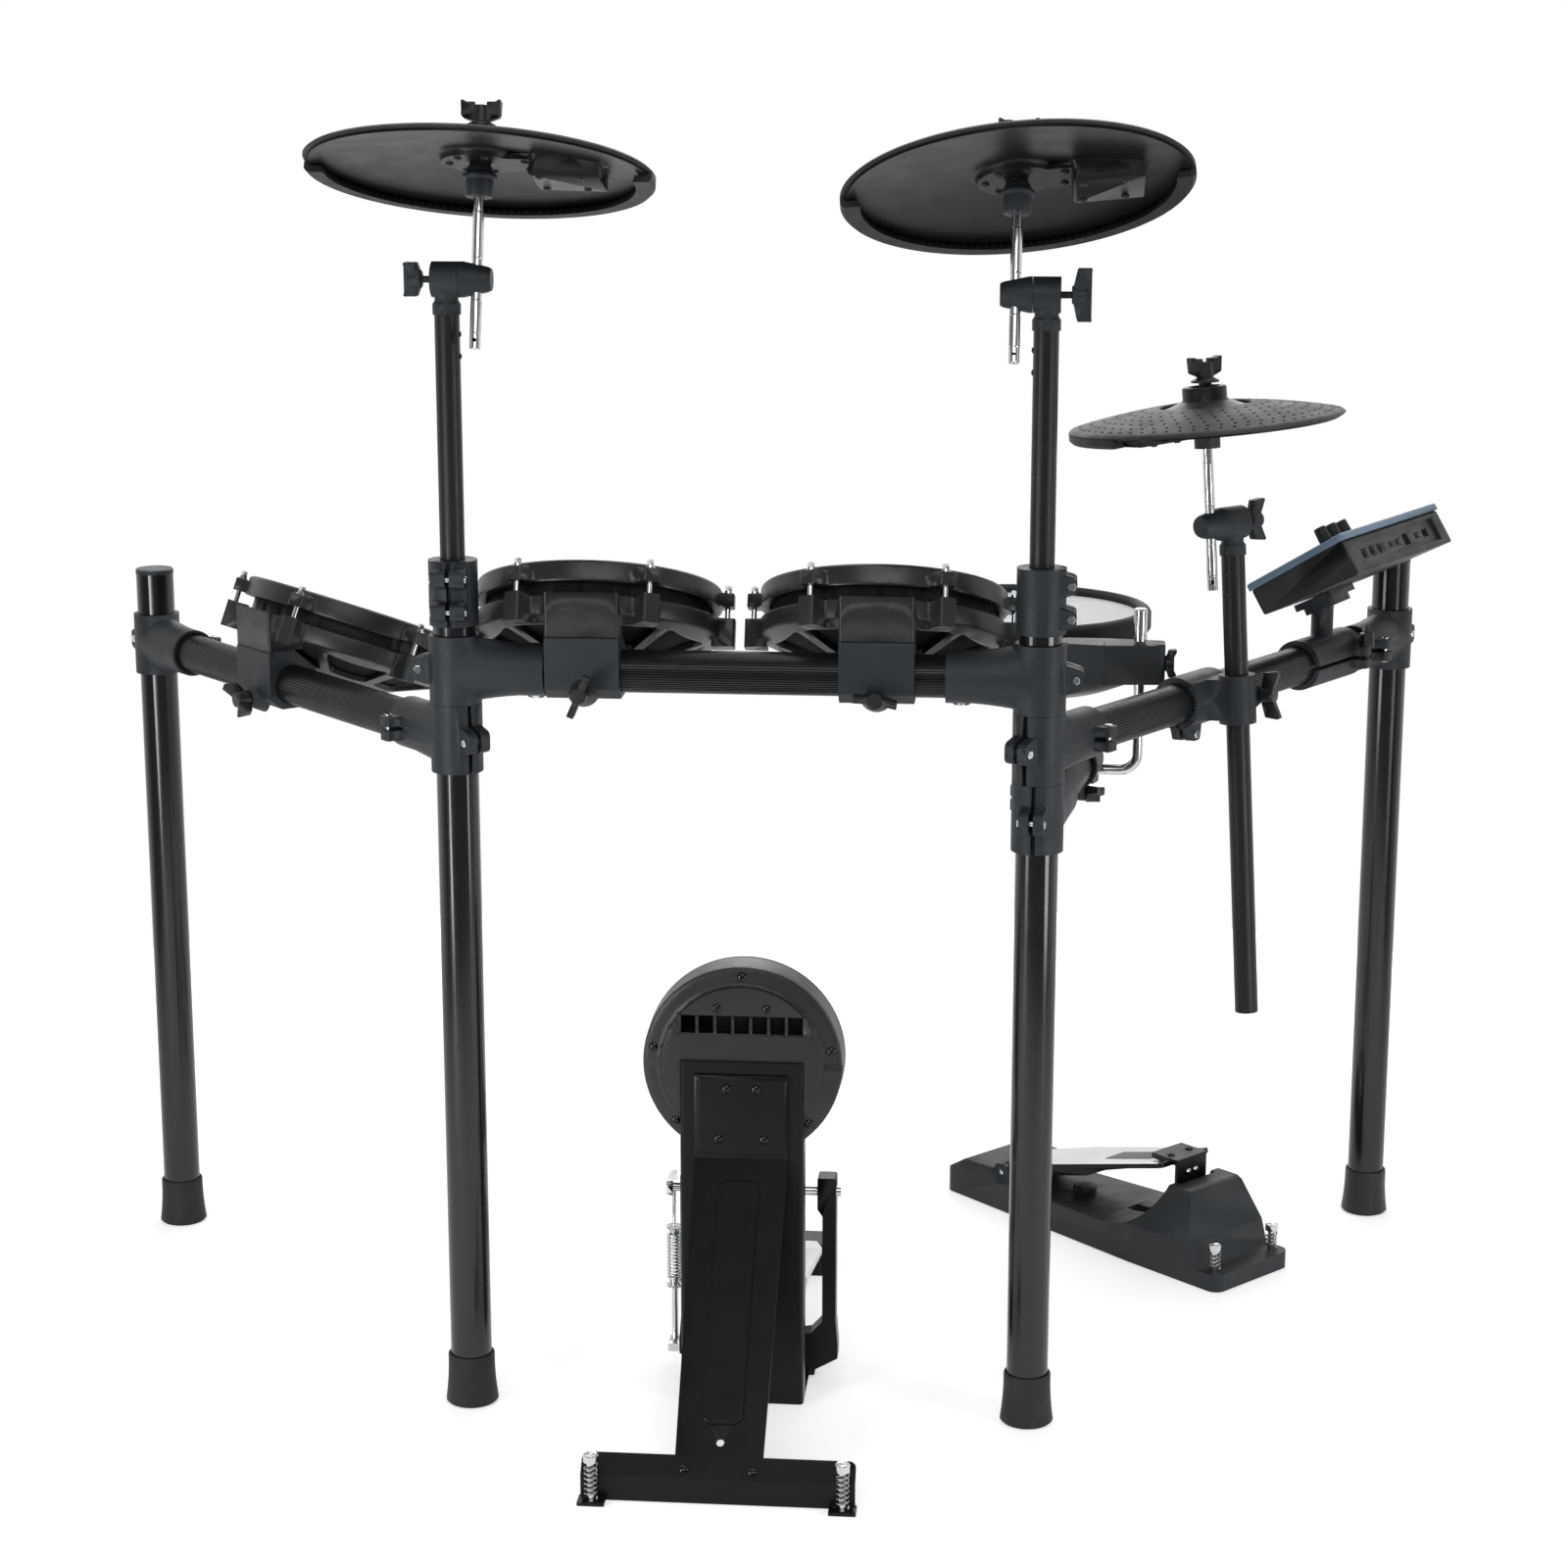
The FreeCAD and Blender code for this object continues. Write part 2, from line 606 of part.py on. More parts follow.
def cymbal_shell(radius):
    """Plastic underside: bow, bell, boss plate and jack box, about the ball's centre."""
    seat = math.sqrt((BALL_R + CLEAR) ** 2 - CYMBAL_HOLE_R ** 2)
    edge = radius - 5
    mid = (radius + BOSS_R) / 2
    low = bow_height(radius, mid) + 1.2
    body = lathe((CYMBAL_HOLE_R, seat), (BOSS_R - 2, seat), (BOSS_R, bow_height(radius, BOSS_R)),
                 ((mid, low), (edge, bow_height(radius, edge))), (edge, bow_height(radius, edge) + SHELL_WALL),
                 ((mid, low + SHELL_WALL), (BELL_R, bow_height(radius, BELL_R) + SHELL_WALL)),
                 ((BELL_R * 0.72, BELL_SHOULDER * 0.84), (BELL_NECK_R, BELL_SHOULDER)),
                 (BELL_NECK_R, BELL_TOP - 1.5), (BELL_NECK_R - 1.5, BELL_TOP), (BELL_HOLE_R, BELL_TOP))
    near, far, half = JACK_BOX
    far = min(far, edge - 18)
    slope = [(near, -JACK_BOX_DROP + 2), (near + 3, -JACK_BOX_DROP), (far, -JACK_BOX_DROP),
             (far, bow_height(radius, far) + 1), (near, bow_height(radius, near) + 1)]
    box = place(prism(slope, 2 * half), V(0, half, 0), -Y_AXIS)
    arm_plate = block((0, -half * 0.85, seat), (near + 2, half * 0.85, bow_height(radius, near)))
    box = box.cut(Part.makeCylinder(JACK_R, 22, V(far - 20, 0, 0), X_AXIS))
    return fused(body, box, arm_plate.cut(Part.makeCylinder(CYMBAL_HOLE_R + 6, 60)))


def cymbal_pad(radius, choke_way):
    """Rubber playing surface with a rolled rim and the choke strip under its far half."""
    edge = radius - 5 + SEAT
    mid = (radius + BOSS_R) / 2
    low = bow_height(radius, mid) + 1.2 + SHELL_WALL + SEAT
    inner = BELL_R + 2
    inner_z = bow_height(radius, inner) + SHELL_WALL + SEAT + 0.15
    edge_z = bow_height(radius, edge) + SHELL_WALL + SEAT
    base = edge_z + PAD_THICK - RIM_THICK
    body = lathe((inner, inner_z), ((mid, low + 0.1), (edge, edge_z)), (edge, base), (radius - 1.5, base),
                 (radius, base + 1.5), (radius, edge_z + 1), (radius - 2.5, edge_z + PAD_THICK - 0.4),
                 ((mid, low + PAD_THICK + 0.3), (inner + 2, inner_z + PAD_THICK)), (inner, inner_z + PAD_THICK - 1))
    top = bow_height(radius, edge) - CLEAR
    strip = lathe((radius - CHOKE_WIDTH, top - CHOKE_DROP), (radius - 3, top - CHOKE_DROP),
                  (radius, top - CHOKE_DROP + 3), (radius, base + 0.5), (edge, base + 0.5), (edge, top),
                  (radius - CHOKE_WIDTH + 2, top))
    half = CHOKE_ARC / 2
    keep = Part.makeCylinder(radius + 5, 60, V(0, 0, base - 40), Z_AXIS, CHOKE_ARC)
    keep = place(keep, V(), Z_AXIS, heading(choke_way - half))
    return fused(body, strip.common(keep))


def cymbal_set(tilt, side, roll, radius, choke_way):
    """Shell and pad of one cymbal on its ball seat."""
    normal, across = cymbal_axes(tilt, roll)
    pivot = cymbal_pivot(tilt, side)
    pad = cymbal_pad(radius, choke_way)
    return place(cymbal_shell(radius), pivot, normal, across), place(pad, pivot, normal, across)


def wing_nut(tilt, side):
    """Wing nut on a rod's tip, standing on the sleeve."""
    nut = wing_bolt(0, NUT_WING)
    skirt = lathe((0, -4), (NUT_SKIRT_R, -4), (NUT_SKIRT_R, -2), (NUT_R - 1, 1), (0, 1))
    nut = fused(nut, skirt).cut(Part.makeCylinder(ROD_R + 0.05, 80, V(0, 0, -40)))
    way = rod_way(tilt)
    return place(nut, cymbal_pivot(tilt, side) + way * (SLEEVE_TOP + 4 + CLEAR), way)


def cross_clamp():
    """Clamp that carries the hi-hat post on the right wing bar, with its wing bolt."""
    ring_start = CROSS_RING_SHIFT - CROSS_RING_LENGTH / 2
    ring = Part.makeCylinder(CROSS_RING_R, CROSS_RING_LENGTH, V(ring_start, 0, 0), X_AXIS)
    height = CROSS_SLEEVE_HEIGHT
    sleeve = Part.makeCylinder(CROSS_SLEEVE_R, height, V(0, -HIHAT_POST_OFFSET, -height / 2))
    bridge = block((-CROSS_SLEEVE_R, -HIHAT_POST_OFFSET, -height * 0.42), (CROSS_SLEEVE_R, 0, height * 0.42))
    ears = [place(e, V(0, -HIHAT_POST_OFFSET, 0)) for e in ear_pair(CROSS_SLEEVE_R, BRANCH_EAR)]
    lip_x = ring_start + CROSS_RING_LENGTH / 4
    lip = [place(e, V(lip_x, 0, 0), X_AXIS, -Z_AXIS) for e in ear_pair(CROSS_RING_R, BRANCH_EAR)]
    body = fused(ring, sleeve, bridge, *ears, *lip)
    body = body.cut(Part.makeCylinder(BAR_R + SEAT, 200, V(-100, 0, 0), X_AXIS))
    body = body.cut(Part.makeCylinder(ARM_R + CLEAR, 100, V(0, -HIHAT_POST_OFFSET, -50)))
    body = body.cut(place(ear_slit(CROSS_SLEEVE_R, BRANCH_EAR, height), V(0, -HIHAT_POST_OFFSET, 0)))
    ring_slit = ear_slit(CROSS_RING_R, BRANCH_EAR, CROSS_RING_LENGTH)
    body = body.cut(place(ring_slit, V(CROSS_RING_SHIFT, 0, 0), X_AXIS, -Z_AXIS))
    ear_x = CROSS_SLEEVE_R + BRANCH_EAR[0] - 2.5
    outside = BRANCH_EAR[2] + EAR_GAP / 2
    bolt_hole = Part.makeCylinder(TILT_BOLT_R + SEAT, 2 * outside, V(ear_x, -HIHAT_POST_OFFSET - outside, 0), Y_AXIS)
    bolt_base = V(ear_x, -HIHAT_POST_OFFSET - outside - SEAT, 0)
    bolt = place(wing_bolt(2 * outside, CROSS_WING), bolt_base, -Y_AXIS, Z_AXIS)
    return [place(s, HIHAT_BAR, HIHAT_UP, RIGHT_WAY) for s in (body.cut(bolt_hole), bolt)]


def round_pattern(shape, count, start=0.0):
    """Copies of a shape turned about Z at even steps."""
    return [place(shape, V(), Z_AXIS, heading(start + i * 360 / count)) for i in range(count)]


def tom_shell():
    """Tom body about its head's centre: ring with lug blocks and a windowed basket."""
    wall = TOM_WALL
    body = lathe((TOM_INNER_R - wall, -6), (TOM_INNER_R, -6), (TOM_INNER_R, TOM_RING_TOP), (TOM_R - 1, TOM_RING_TOP),
                 (TOM_R, TOM_RING_TOP - 1.5), (TOM_R, TOM_RING_BASE), (TOM_R - 4, TOM_RING_BASE - 2),
                 (TOM_BASKET_R, TOM_BASKET_BASE), (0, TOM_BASKET_BASE), (0, TOM_BASKET_BASE + wall),
                 (TOM_BASKET_R - 2, TOM_BASKET_BASE + wall), (TOM_INNER_R - wall, TOM_RING_BASE))
    inner = TOM_BASKET_R + 9
    outer = TOM_R - 19
    spread = math.radians(180 / TOM_WINDOWS)
    wide = outer * math.tan(spread) - 6
    narrow = inner * math.tan(spread) - 5
    window = plate([(inner, -narrow), (outer, -wide), (outer, wide), (inner, narrow)], 4.0, 60)
    windows = [place(w, V(0, 0, TOM_BASKET_BASE - 4)) for w in round_pattern(window, TOM_WINDOWS, 22.5)]
    low_part = block((-150, -150, -90), (150, 150, TOM_RING_BASE - 3))
    body = body.cut(Part.makeCompound(windows).common(low_part))
    height = TOM_RING_TOP + 2 - (TOM_RING_BASE - LUG_DROP)
    inside = TOM_R - 8
    lug = plate([(inside, -LUG_WIDTH / 2), (TOM_LUG_CIRCLE + LUG_DEPTH / 2, -LUG_WIDTH / 2 + 3),
                 (TOM_LUG_CIRCLE + LUG_DEPTH / 2, LUG_WIDTH / 2 - 3), (inside, LUG_WIDTH / 2)], 2.5, height)
    lug = place(lug, V(0, 0, TOM_RING_BASE - LUG_DROP))
    return fused(body, *round_pattern(lug, TOM_LUGS))


def tom_room():
    """Space that a tom's ring and basket take up, with the seat's clearance, for the clamp's saddle."""
    ring = TOM_R + SEAT
    return lathe((0, 80), (ring, 80), (ring, TOM_RING_BASE - SEAT), (TOM_R - 4, TOM_RING_BASE - 2 - SEAT),
                 (TOM_BASKET_R, TOM_BASKET_BASE - SEAT), (0, TOM_BASKET_BASE - SEAT))


def tom_hoop():
    """Hoop with six ears that holds the head down."""
    inner = TOM_INNER_R + 2.2
    body = lathe((inner, TOM_HOOP_BASE), (TOM_R - 1, TOM_HOOP_BASE), (TOM_R, TOM_HOOP_BASE + 1.5),
                 (TOM_R - 0.5, TOM_HOOP_TOP - 3), ((TOM_R - 2.5, TOM_HOOP_TOP - 0.4), (TOM_R - 5, TOM_HOOP_TOP)),
                 (inner - 1, TOM_HOOP_TOP), (inner - 2, TOM_HOOP_TOP - 2), (inner - 2, HEAD_THICK + SEAT),
                 (inner, HEAD_THICK + SEAT))
    inside = TOM_R - 6
    ear = plate([(inside, -LUG_WIDTH / 2 - 2), (TOM_LUG_CIRCLE + 6, -LUG_WIDTH / 2 + 3),
                 (TOM_LUG_CIRCLE + 6, LUG_WIDTH / 2 - 3), (inside, LUG_WIDTH / 2 + 2)], 2.5, 12)
    ear = place(ear, V(0, 0, TOM_HOOP_BASE + 1))
    return fused(body, *round_pattern(ear, TOM_LUGS))


def mesh_head(inner_r, collar_depth):
    """Drum head: a taut sheet with a collar that turns down over the shell's edge."""
    outer = inner_r + 2.2 - SEAT
    return lathe((0, 0), (inner_r + SEAT, 0), (inner_r + SEAT, -collar_depth), (outer, -collar_depth),
                 (outer, HEAD_THICK - 0.6), (outer - 0.6, HEAD_THICK), (0, HEAD_THICK))


def tom_axes(front):
    """Normal and X direction of a tom whose clamp faces along front."""
    lean = math.radians(TOM_TILT)
    across = V(0, 0, 1).cross(front)
    return front * -math.sin(lean) + V(0, 0, math.cos(lean)), across * -1


def tom_clamp(wing_turn):
    """Bar clamp about the bar's axis (X), slit at its back, with the wing bolt in its front (+Y)."""
    half = CLAMP_HALF_DEPTH
    outline = [(-half, CLAMP_BASE + 10), (-half + 12, CLAMP_BASE), (half - 12, CLAMP_BASE), (half, CLAMP_BASE + 10),
               (half, CLAMP_TOP), (-half, CLAMP_TOP)]
    body = place(plate(outline, 3.0, CLAMP_WIDTH), V(-CLAMP_WIDTH / 2, 0, 0), X_AXIS, Y_AXIS)
    bolt_at = V(0, half + CLAMP_BOSS, -CLAMP_BOLT_DROP)
    wide = Part.Wire(Part.makeCircle(15, bolt_at - Y_AXIS * (CLAMP_BOSS + 9), Y_AXIS))
    narrow = Part.Wire(Part.makeCircle(8.5, bolt_at, Y_AXIS))
    body = fused(body, Part.makeLoft([wide, narrow], True))
    body = body.cut(Part.makeCylinder(BAR_R + CLEAR, CLAMP_WIDTH, V(-CLAMP_WIDTH / 2, 0, 0), X_AXIS))
    slit = block((-CLAMP_WIDTH / 2, -half - 1, -CLAMP_SLIT / 2), (CLAMP_WIDTH / 2, 1 - BAR_R, CLAMP_SLIT / 2))
    body = body.cut(slit).cut(Part.makeCylinder(TILT_BOLT_R + SEAT, half, bolt_at, -Y_AXIS))
    shank = bolt_at.y - math.sqrt((BAR_R + CLEAR) ** 2 - (CLAMP_BOLT_DROP - TILT_BOLT_R) ** 2) - 1
    bolt = place(wing_bolt(shank, CLAMP_WING), bolt_at + Y_AXIS * SEAT, Y_AXIS, V(math.cos(math.radians(wing_turn)), 0,
                                                                                math.sin(math.radians(wing_turn))))
    return [body, bolt]


def tom_set(bar_point, front, wing_turn):
    """Shell, hoop, head and clamp solids of one tom on its bar."""
    across = V(0, 0, 1).cross(front) * -1
    centre = V(bar_point.x, bar_point.y, TOM_HEAD_Z + bar_point.z - CENTRE_BAR_Z) - front * TOM_BEHIND_BAR
    normal, x_way = tom_axes(front)
    seam = bar_point.z + CLAMP_TOP + SEAT
    foot_block = plate([(-CLAMP_WIDTH / 2, -CLAMP_HALF_DEPTH), (CLAMP_WIDTH / 2, -CLAMP_HALF_DEPTH),
                        (CLAMP_WIDTH / 2, CLAMP_HALF_DEPTH), (-CLAMP_WIDTH / 2, CLAMP_HALF_DEPTH)], 2.5, TOM_FOOT_HEIGHT)
    foot_block = place(foot_block, V(bar_point.x, bar_point.y, seam), Z_AXIS, across)
    above = place(block((-200, -200, TOM_RING_TOP), (200, 200, 100)), centre, normal, x_way)
    shell = fused(place(tom_shell(), centre, normal, x_way), foot_block.cut(above))
    hoop = place(tom_hoop(), centre, normal, x_way)
    head = place(mesh_head(TOM_INNER_R, 6.0), centre, normal, x_way)
    block_solid, bolt = [place(s, bar_point, Z_AXIS, across) for s in tom_clamp(wing_turn)]
    saddle = block_solid.cut(place(tom_room(), centre, normal, x_way))
    return shell, hoop, head, [saddle, bolt]


def snare_shell():
    """Snare body about its head's centre: a shallow shell with a ring of lug blocks and ribs below."""
    wall = TOM_WALL
    inner = SNARE_R - 6
    top = -SNARE_RING_DROP
    base = top - SNARE_RING_HEIGHT
    body = lathe((inner - wall, -6), (inner, -6), (inner, top), (SNARE_R - 1, top), (SNARE_R, top - 2),
                 (SNARE_R, base + 6), (SNARE_R - 6, base), (inner - 20, base - 8), (0, base - 8),
                 (0, base - 8 + wall), (inner - 20, base - 8 + wall), (inner - wall, base + 4))
    lug = plate([(SNARE_R - 8, -8), (SNARE_RIM_R, -6), (SNARE_RIM_R, 6), (SNARE_R - 8, 8)], 2.0, 24)
    lugs = round_pattern(place(lug, V(0, 0, top - 20)), SNARE_LUGS, 30)
    return fused(body, *lugs)


def snare_rim():
    """Rubber covered rim over the head's edge, with ears for the tension rods."""
    inner = SNARE_R - 6 + 2.2
    low = -SNARE_RIM_HEIGHT + 9
    body = lathe((inner, low), (SNARE_RIM_R - 2, low), (SNARE_RIM_R, low + 3), (SNARE_RIM_R, 4),
                 ((SNARE_RIM_R - 4, 9), (SNARE_RIM_R - 9, 9)), (inner - 1.5, 6), (inner - 1.5, HEAD_THICK + SEAT),
                 (inner, HEAD_THICK + SEAT))
    ear = plate([(SNARE_R - 3, -11), (SNARE_RIM_R + 1, -8), (SNARE_RIM_R + 1, 8), (SNARE_R - 3, 11)], 2.0, 6)
    ears = round_pattern(place(ear, V(0, 0, low - 4)), SNARE_LUGS, 30)
    return fused(body, *ears)


def snare_bracket():
    """Mounting bracket on the snare's near side that grips the L-rod, with its knob."""
    long, deep, tall = SNARE_BRACKET
    centre = V(SNARE_CENTRE[0], SNARE_CENTRE[1], 0)
    left = L_ROD_X - long * 0.755
    front = L_ROD_Y - deep * 0.38
    base = SNARE_BRACKET_TOP - tall
    body = plate([(left, front + 8), (left + 40, front), (left + long, front + 4), (left + long, front + deep * 0.8),
                  (left + 40, front + deep), (left, front + deep)], 6.0, tall)
    reach = plate([(left + 4, front + deep - 12), (left + 66, front + deep - 12), (left + 30, SNARE_CENTRE[1] - 90),
                   (left - 26, SNARE_CENTRE[1] - 90)], 4.0, tall - 14)
    body = fused(place(body, V(0, 0, base)), place(reach, V(0, 0, base + 4)))
    below = V(0, 0, base - tall)
    drum = Part.makeCylinder(SNARE_RIM_R + SEAT, 3 * tall, centre + below)
    body = body.cut(drum).cut(Part.makeCylinder(L_ROD_R + CLEAR, 3 * tall, V(L_ROD_X, L_ROD_Y, 0) + below))
    knob_place = V(left + long + SEAT, L_ROD_Y, base + tall / 2)
    body = body.cut(Part.makeCylinder(TILT_BOLT_R + SEAT, 60, knob_place - X_AXIS * 30, X_AXIS))
    shank = left + long - L_ROD_X - L_ROD_R - 1
    knob = place(wing_bolt(shank, SNARE_KNOB), knob_place, X_AXIS, Z_AXIS)
    return [body, knob]


def l_rod():
    """Bent rod from the snare arm's end clamp up through the snare's bracket, with a knurled cap."""
    start = V(SNARE_END_CLAMP.x - SNARE_CLAMP_HALF, L_ROD_Y, L_ROD_Z)
    elbow = V(L_ROD_X - L_ROD_BEND, L_ROD_Y, L_ROD_Z)
    rise = V(L_ROD_X, L_ROD_Y, L_ROD_Z + L_ROD_BEND)
    turn = L_ROD_BEND * math.sin(math.radians(45))
    middle = V(elbow.x + turn, L_ROD_Y, rise.z - turn)
    top = V(L_ROD_X, L_ROD_Y, L_ROD_TOP - L_ROD_CAP_LENGTH)
    path = Part.Wire([Part.LineSegment(start, elbow).toShape(), Part.Arc(elbow, middle, rise).toShape(),
                      Part.LineSegment(rise, top).toShape()])
    section = Part.Wire(Part.makeCircle(L_ROD_R, start, X_AXIS))
    bent = path.makePipeShell([section], True, False)
    cap = lathe((0, 0), (L_ROD_CAP_R - 1, 0), (L_ROD_CAP_R, 1), (L_ROD_CAP_R, L_ROD_CAP_LENGTH - 1.5),
                (L_ROD_CAP_R - 1.5, L_ROD_CAP_LENGTH), (0, L_ROD_CAP_LENGTH))
    return fused(bent, place(cap, top))


def snare_end_clamp():
    """Clamp on the snare arm's end that grips the L-rod crosswise, with its wing bolt."""
    grip = L_ROD_Y / SNARE_WAY.y - SNARE_BAR_END
    sleeve = Part.makeCylinder(BRANCH_R, 42, V(-grip - 38, 0, 0), X_AXIS)
    low = L_ROD_Z - SNARE_BAR_Z
    body = plate([(-grip - 8, -BRANCH_R), (14, low - 14), (14, low + 16), (-grip - 8, BRANCH_R)], 4.0,
                 2 * SNARE_CLAMP_HALF)
    body = place(body, V(0, SNARE_CLAMP_HALF, 0), -Y_AXIS)
    ears = [place(e, V(-grip - 24, 0, 0), X_AXIS, -Z_AXIS) for e in ear_pair(BRANCH_R, BRANCH_EAR)]
    body = fused(sleeve, body, *ears)
    body = body.cut(Part.makeCylinder(BAR_R + SEAT, 60, V(-grip - 60, 0, 0), X_AXIS))
    slit = ear_slit(BRANCH_R, BRANCH_EAR, 44)
    body = body.cut(place(slit, V(-grip - 32, 0, 0), X_AXIS, -Z_AXIS))
    body = place(body, SNARE_END_CLAMP, Z_AXIS, SNARE_WAY)
    body = body.cut(Part.makeCylinder(L_ROD_R + CLEAR, 200, V(200, L_ROD_Y, L_ROD_Z), X_AXIS))
    outside = EAR_GAP / 2 + BRANCH_EAR[2]
    side = SNARE_WAY.cross(Z_AXIS)
    ear_point = SNARE_END_CLAMP - SNARE_WAY * (grip + 24) - Z_AXIS * (BRANCH_R + BRANCH_EAR[0] - 6)
    hole = Part.makeCylinder(TILT_BOLT_R + SEAT, 4 * outside, ear_point - side * 2 * outside, side)
    bolt = place(wing_bolt(2 * outside, SNARE_CLAMP_WING), ear_point + side * (outside + SEAT), side, SNARE_WAY)
    return [body.cut(hole), bolt]


def module_frame():
    """Centre of the module's top, its width direction, its direction to the drummer and its normal."""
    wide = heading(RIGHT_WING_ANGLE + MODULE_YAW)
    level = heading(RIGHT_WING_ANGLE + MODULE_YAW + 90)
    lean = math.radians(MODULE_TILT)
    deep = level * math.cos(lean) - V(0, 0, math.sin(lean))
    normal = wide.cross(deep)
    middle = RIGHT_OUTER - RIGHT_WAY * MODULE_FROM_POST + HIHAT_FRONT * MODULE_OVERHANG
    return V(middle.x, middle.y, MODULE_TOP_Z), wide, deep, normal


def module_point(across, ahead, up):
    """Point given along the module's width, towards the drummer and off its top."""
    centre, wide, deep, normal = module_frame()
    return centre + wide * across + deep * ahead + normal * up


def in_module(shape):
    """Place a shape made about the centre of the module's top."""
    centre, wide, deep, normal = module_frame()
    return place(shape, centre, normal, wide)


def module_case():
    """Wedge case under the panel, with a recessed row of sockets in its rear wall."""
    half = MODULE_WIDTH / 2
    rear = -MODULE_DEPTH / 2
    side = plate([(rear, -PANEL_THICK - MODULE_REAR), (-rear, -PANEL_THICK - MODULE_FRONT), (-rear, -PANEL_THICK - SEAT),
                  (rear, -PANEL_THICK - SEAT)], MODULE_CORNER * 0.5, MODULE_WIDTH)
    body = place(side, V(-half, 0, 0), X_AXIS, Y_AXIS)
    middle = -PANEL_THICK - MODULE_REAR / 2
    recess = block((-half + 14, rear - 1, middle - 12), (half - 20, rear + 4, middle + 12))
    body = body.cut(recess)
    for place_x, radius in ((-82, 5.2), (-62, 5.2), (-42, 5.2), (-14, 3.2), (4, 3.2), (56, 3.4)):
        body = body.cut(Part.makeCylinder(radius, 18, V(place_x, rear, middle), Y_AXIS))
    body = body.cut(block((22, rear, middle - 6), (36, rear + 16, middle + 6)))
    body = body.cut(block((74, rear, middle - 4), (88, rear + 10, middle + 4)))
    return in_module(body)


def module_panel():
    """Top panel that overhangs the case, with a window and rows of flat keys."""
    half = MODULE_WIDTH / 2 + PANEL_LIP
    deep = MODULE_DEPTH / 2 + PANEL_LIP
    panel = plate([(-half, -deep), (half, -deep), (half, deep), (-half, deep)], MODULE_CORNER, PANEL_THICK)
    panel = place(panel, V(0, 0, -PANEL_THICK))
    top_edges = [e for e in panel.Edges if e.BoundBox.ZMin > -0.01]
    panel = panel.makeChamfer(1.6, top_edges)
    window = place(plate([(-34, -32), (34, -32), (34, 2), (-34, 2)], 3.0, 4), V(0, 0, -1.2))
    panel = panel.cut(window)
    key = plate([(-7, -4), (7, -4), (7, 4), (-7, 4)], 2.0, 2.0)
    keys = [place(key, V(-96 + i * 24, 34, -0.6)) for i in range(9)]
    keys += [place(key, V(56 + i * 24, -6, -0.6)) for i in range(3)]
    panel = fused(panel, *keys)
    for i in range(3):
        at = MODULE_KNOB_START
        hole = Part.makeCylinder(PIN_R + 0.05, 8, V(at[0] + i * MODULE_KNOB_PITCH, at[1], -PANEL_THICK + 0.5))
        panel = panel.cut(hole)
    return in_module(panel)


def module_knob(index):
    """Fluted knob on its spindle."""
    x = MODULE_KNOB_START[0] + index * MODULE_KNOB_PITCH
    body = lathe((0, 0), (MODULE_KNOB_R, 0), (MODULE_KNOB_R - 0.5, MODULE_KNOB_HEIGHT - 1),
                 (MODULE_KNOB_R - 1.5, MODULE_KNOB_HEIGHT), (0, MODULE_KNOB_HEIGHT))
    flute = Part.makeCylinder(1.0, MODULE_KNOB_HEIGHT, V(MODULE_KNOB_R + 0.4, 0, 2))
    body = body.cut(Part.makeCompound(round_pattern(flute, 12)))
    spindle = Part.makeCylinder(PIN_R, PANEL_THICK - 1, V(0, 0, -PANEL_THICK + 1))
    knob = fused(body, spindle)
    return in_module(place(knob, V(x, MODULE_KNOB_START[1], CLEAR)))


def module_mount():
    """Bar clamp with ears and wing bolt, and the stem and stacked plates that carry the module."""
    length = MODULE_CLAMP_LENGTH
    bar = RIGHT_OUTER - RIGHT_WAY * MODULE_CLAMP_FROM_POST + V(0, 0, WING_BAR_Z)
    ear_x = length / 2 - MODULE_CLAMP_EAR
    ring = Part.makeCylinder(CROSS_RING_R, length, V(-length / 2, 0, 0), X_AXIS)
    ears = [place(e, V(ear_x, 0, 0), X_AXIS, -Y_AXIS) for e in ear_pair(CROSS_RING_R, BRANCH_EAR)]
    depth = PANEL_THICK + (MODULE_FRONT + MODULE_REAR) / 2
    slope = math.degrees(math.atan2(MODULE_REAR - MODULE_FRONT, MODULE_DEPTH))
    centre, wide, deep, normal = module_frame()
    off = FreeCAD.Rotation(wide, slope).multVec(normal)
    under = module_point(0, 0, -depth - SEAT)
    under = V(bar.x, bar.y, under.z - ((bar - under).x * off.x + (bar - under).y * off.y) / off.z)
    stem = Part.makeCylinder(MODULE_STEM_R, under.z - bar.z, V())
    ring = fused(ring, *ears, stem)
    ring = ring.cut(Part.makeCylinder(BAR_R + CLEAR, length, V(-length / 2, 0, 0), X_AXIS))
    ring = ring.cut(place(ear_slit(CROSS_RING_R, BRANCH_EAR, length), V(), X_AXIS, -Y_AXIS))
    ear_y = -(CROSS_RING_R + BRANCH_EAR[0] - 3.5)
    outside = EAR_GAP / 2 + BRANCH_EAR[2]
    ring = ring.cut(Part.makeCylinder(TILT_BOLT_R + SEAT, 4 * outside, V(ear_x, ear_y, -2 * outside)))
    bolt = place(wing_bolt(2 * outside, MODULE_WING), V(ear_x, ear_y, outside + SEAT), Z_AXIS, heading(30))
    ring, bolt = [place(s, bar, Z_AXIS, RIGHT_WAY) for s in (ring, bolt)]
    plates = []
    drop = 0.0
    for long, broad, thick in MODULE_PLATES:
        drop += thick
        sheet = plate([(-long / 2, -broad / 2), (long / 2, -broad / 2), (long / 2, broad / 2), (-long / 2, broad / 2)],
                      4.0, thick)
        plates.append(place(sheet, under - off * drop, off, wide))
    above = place(block((-length, -length, 1 - drop), (length, length, length)), under, off, wide)
    return [fused(ring.cut(above), *plates), bolt]


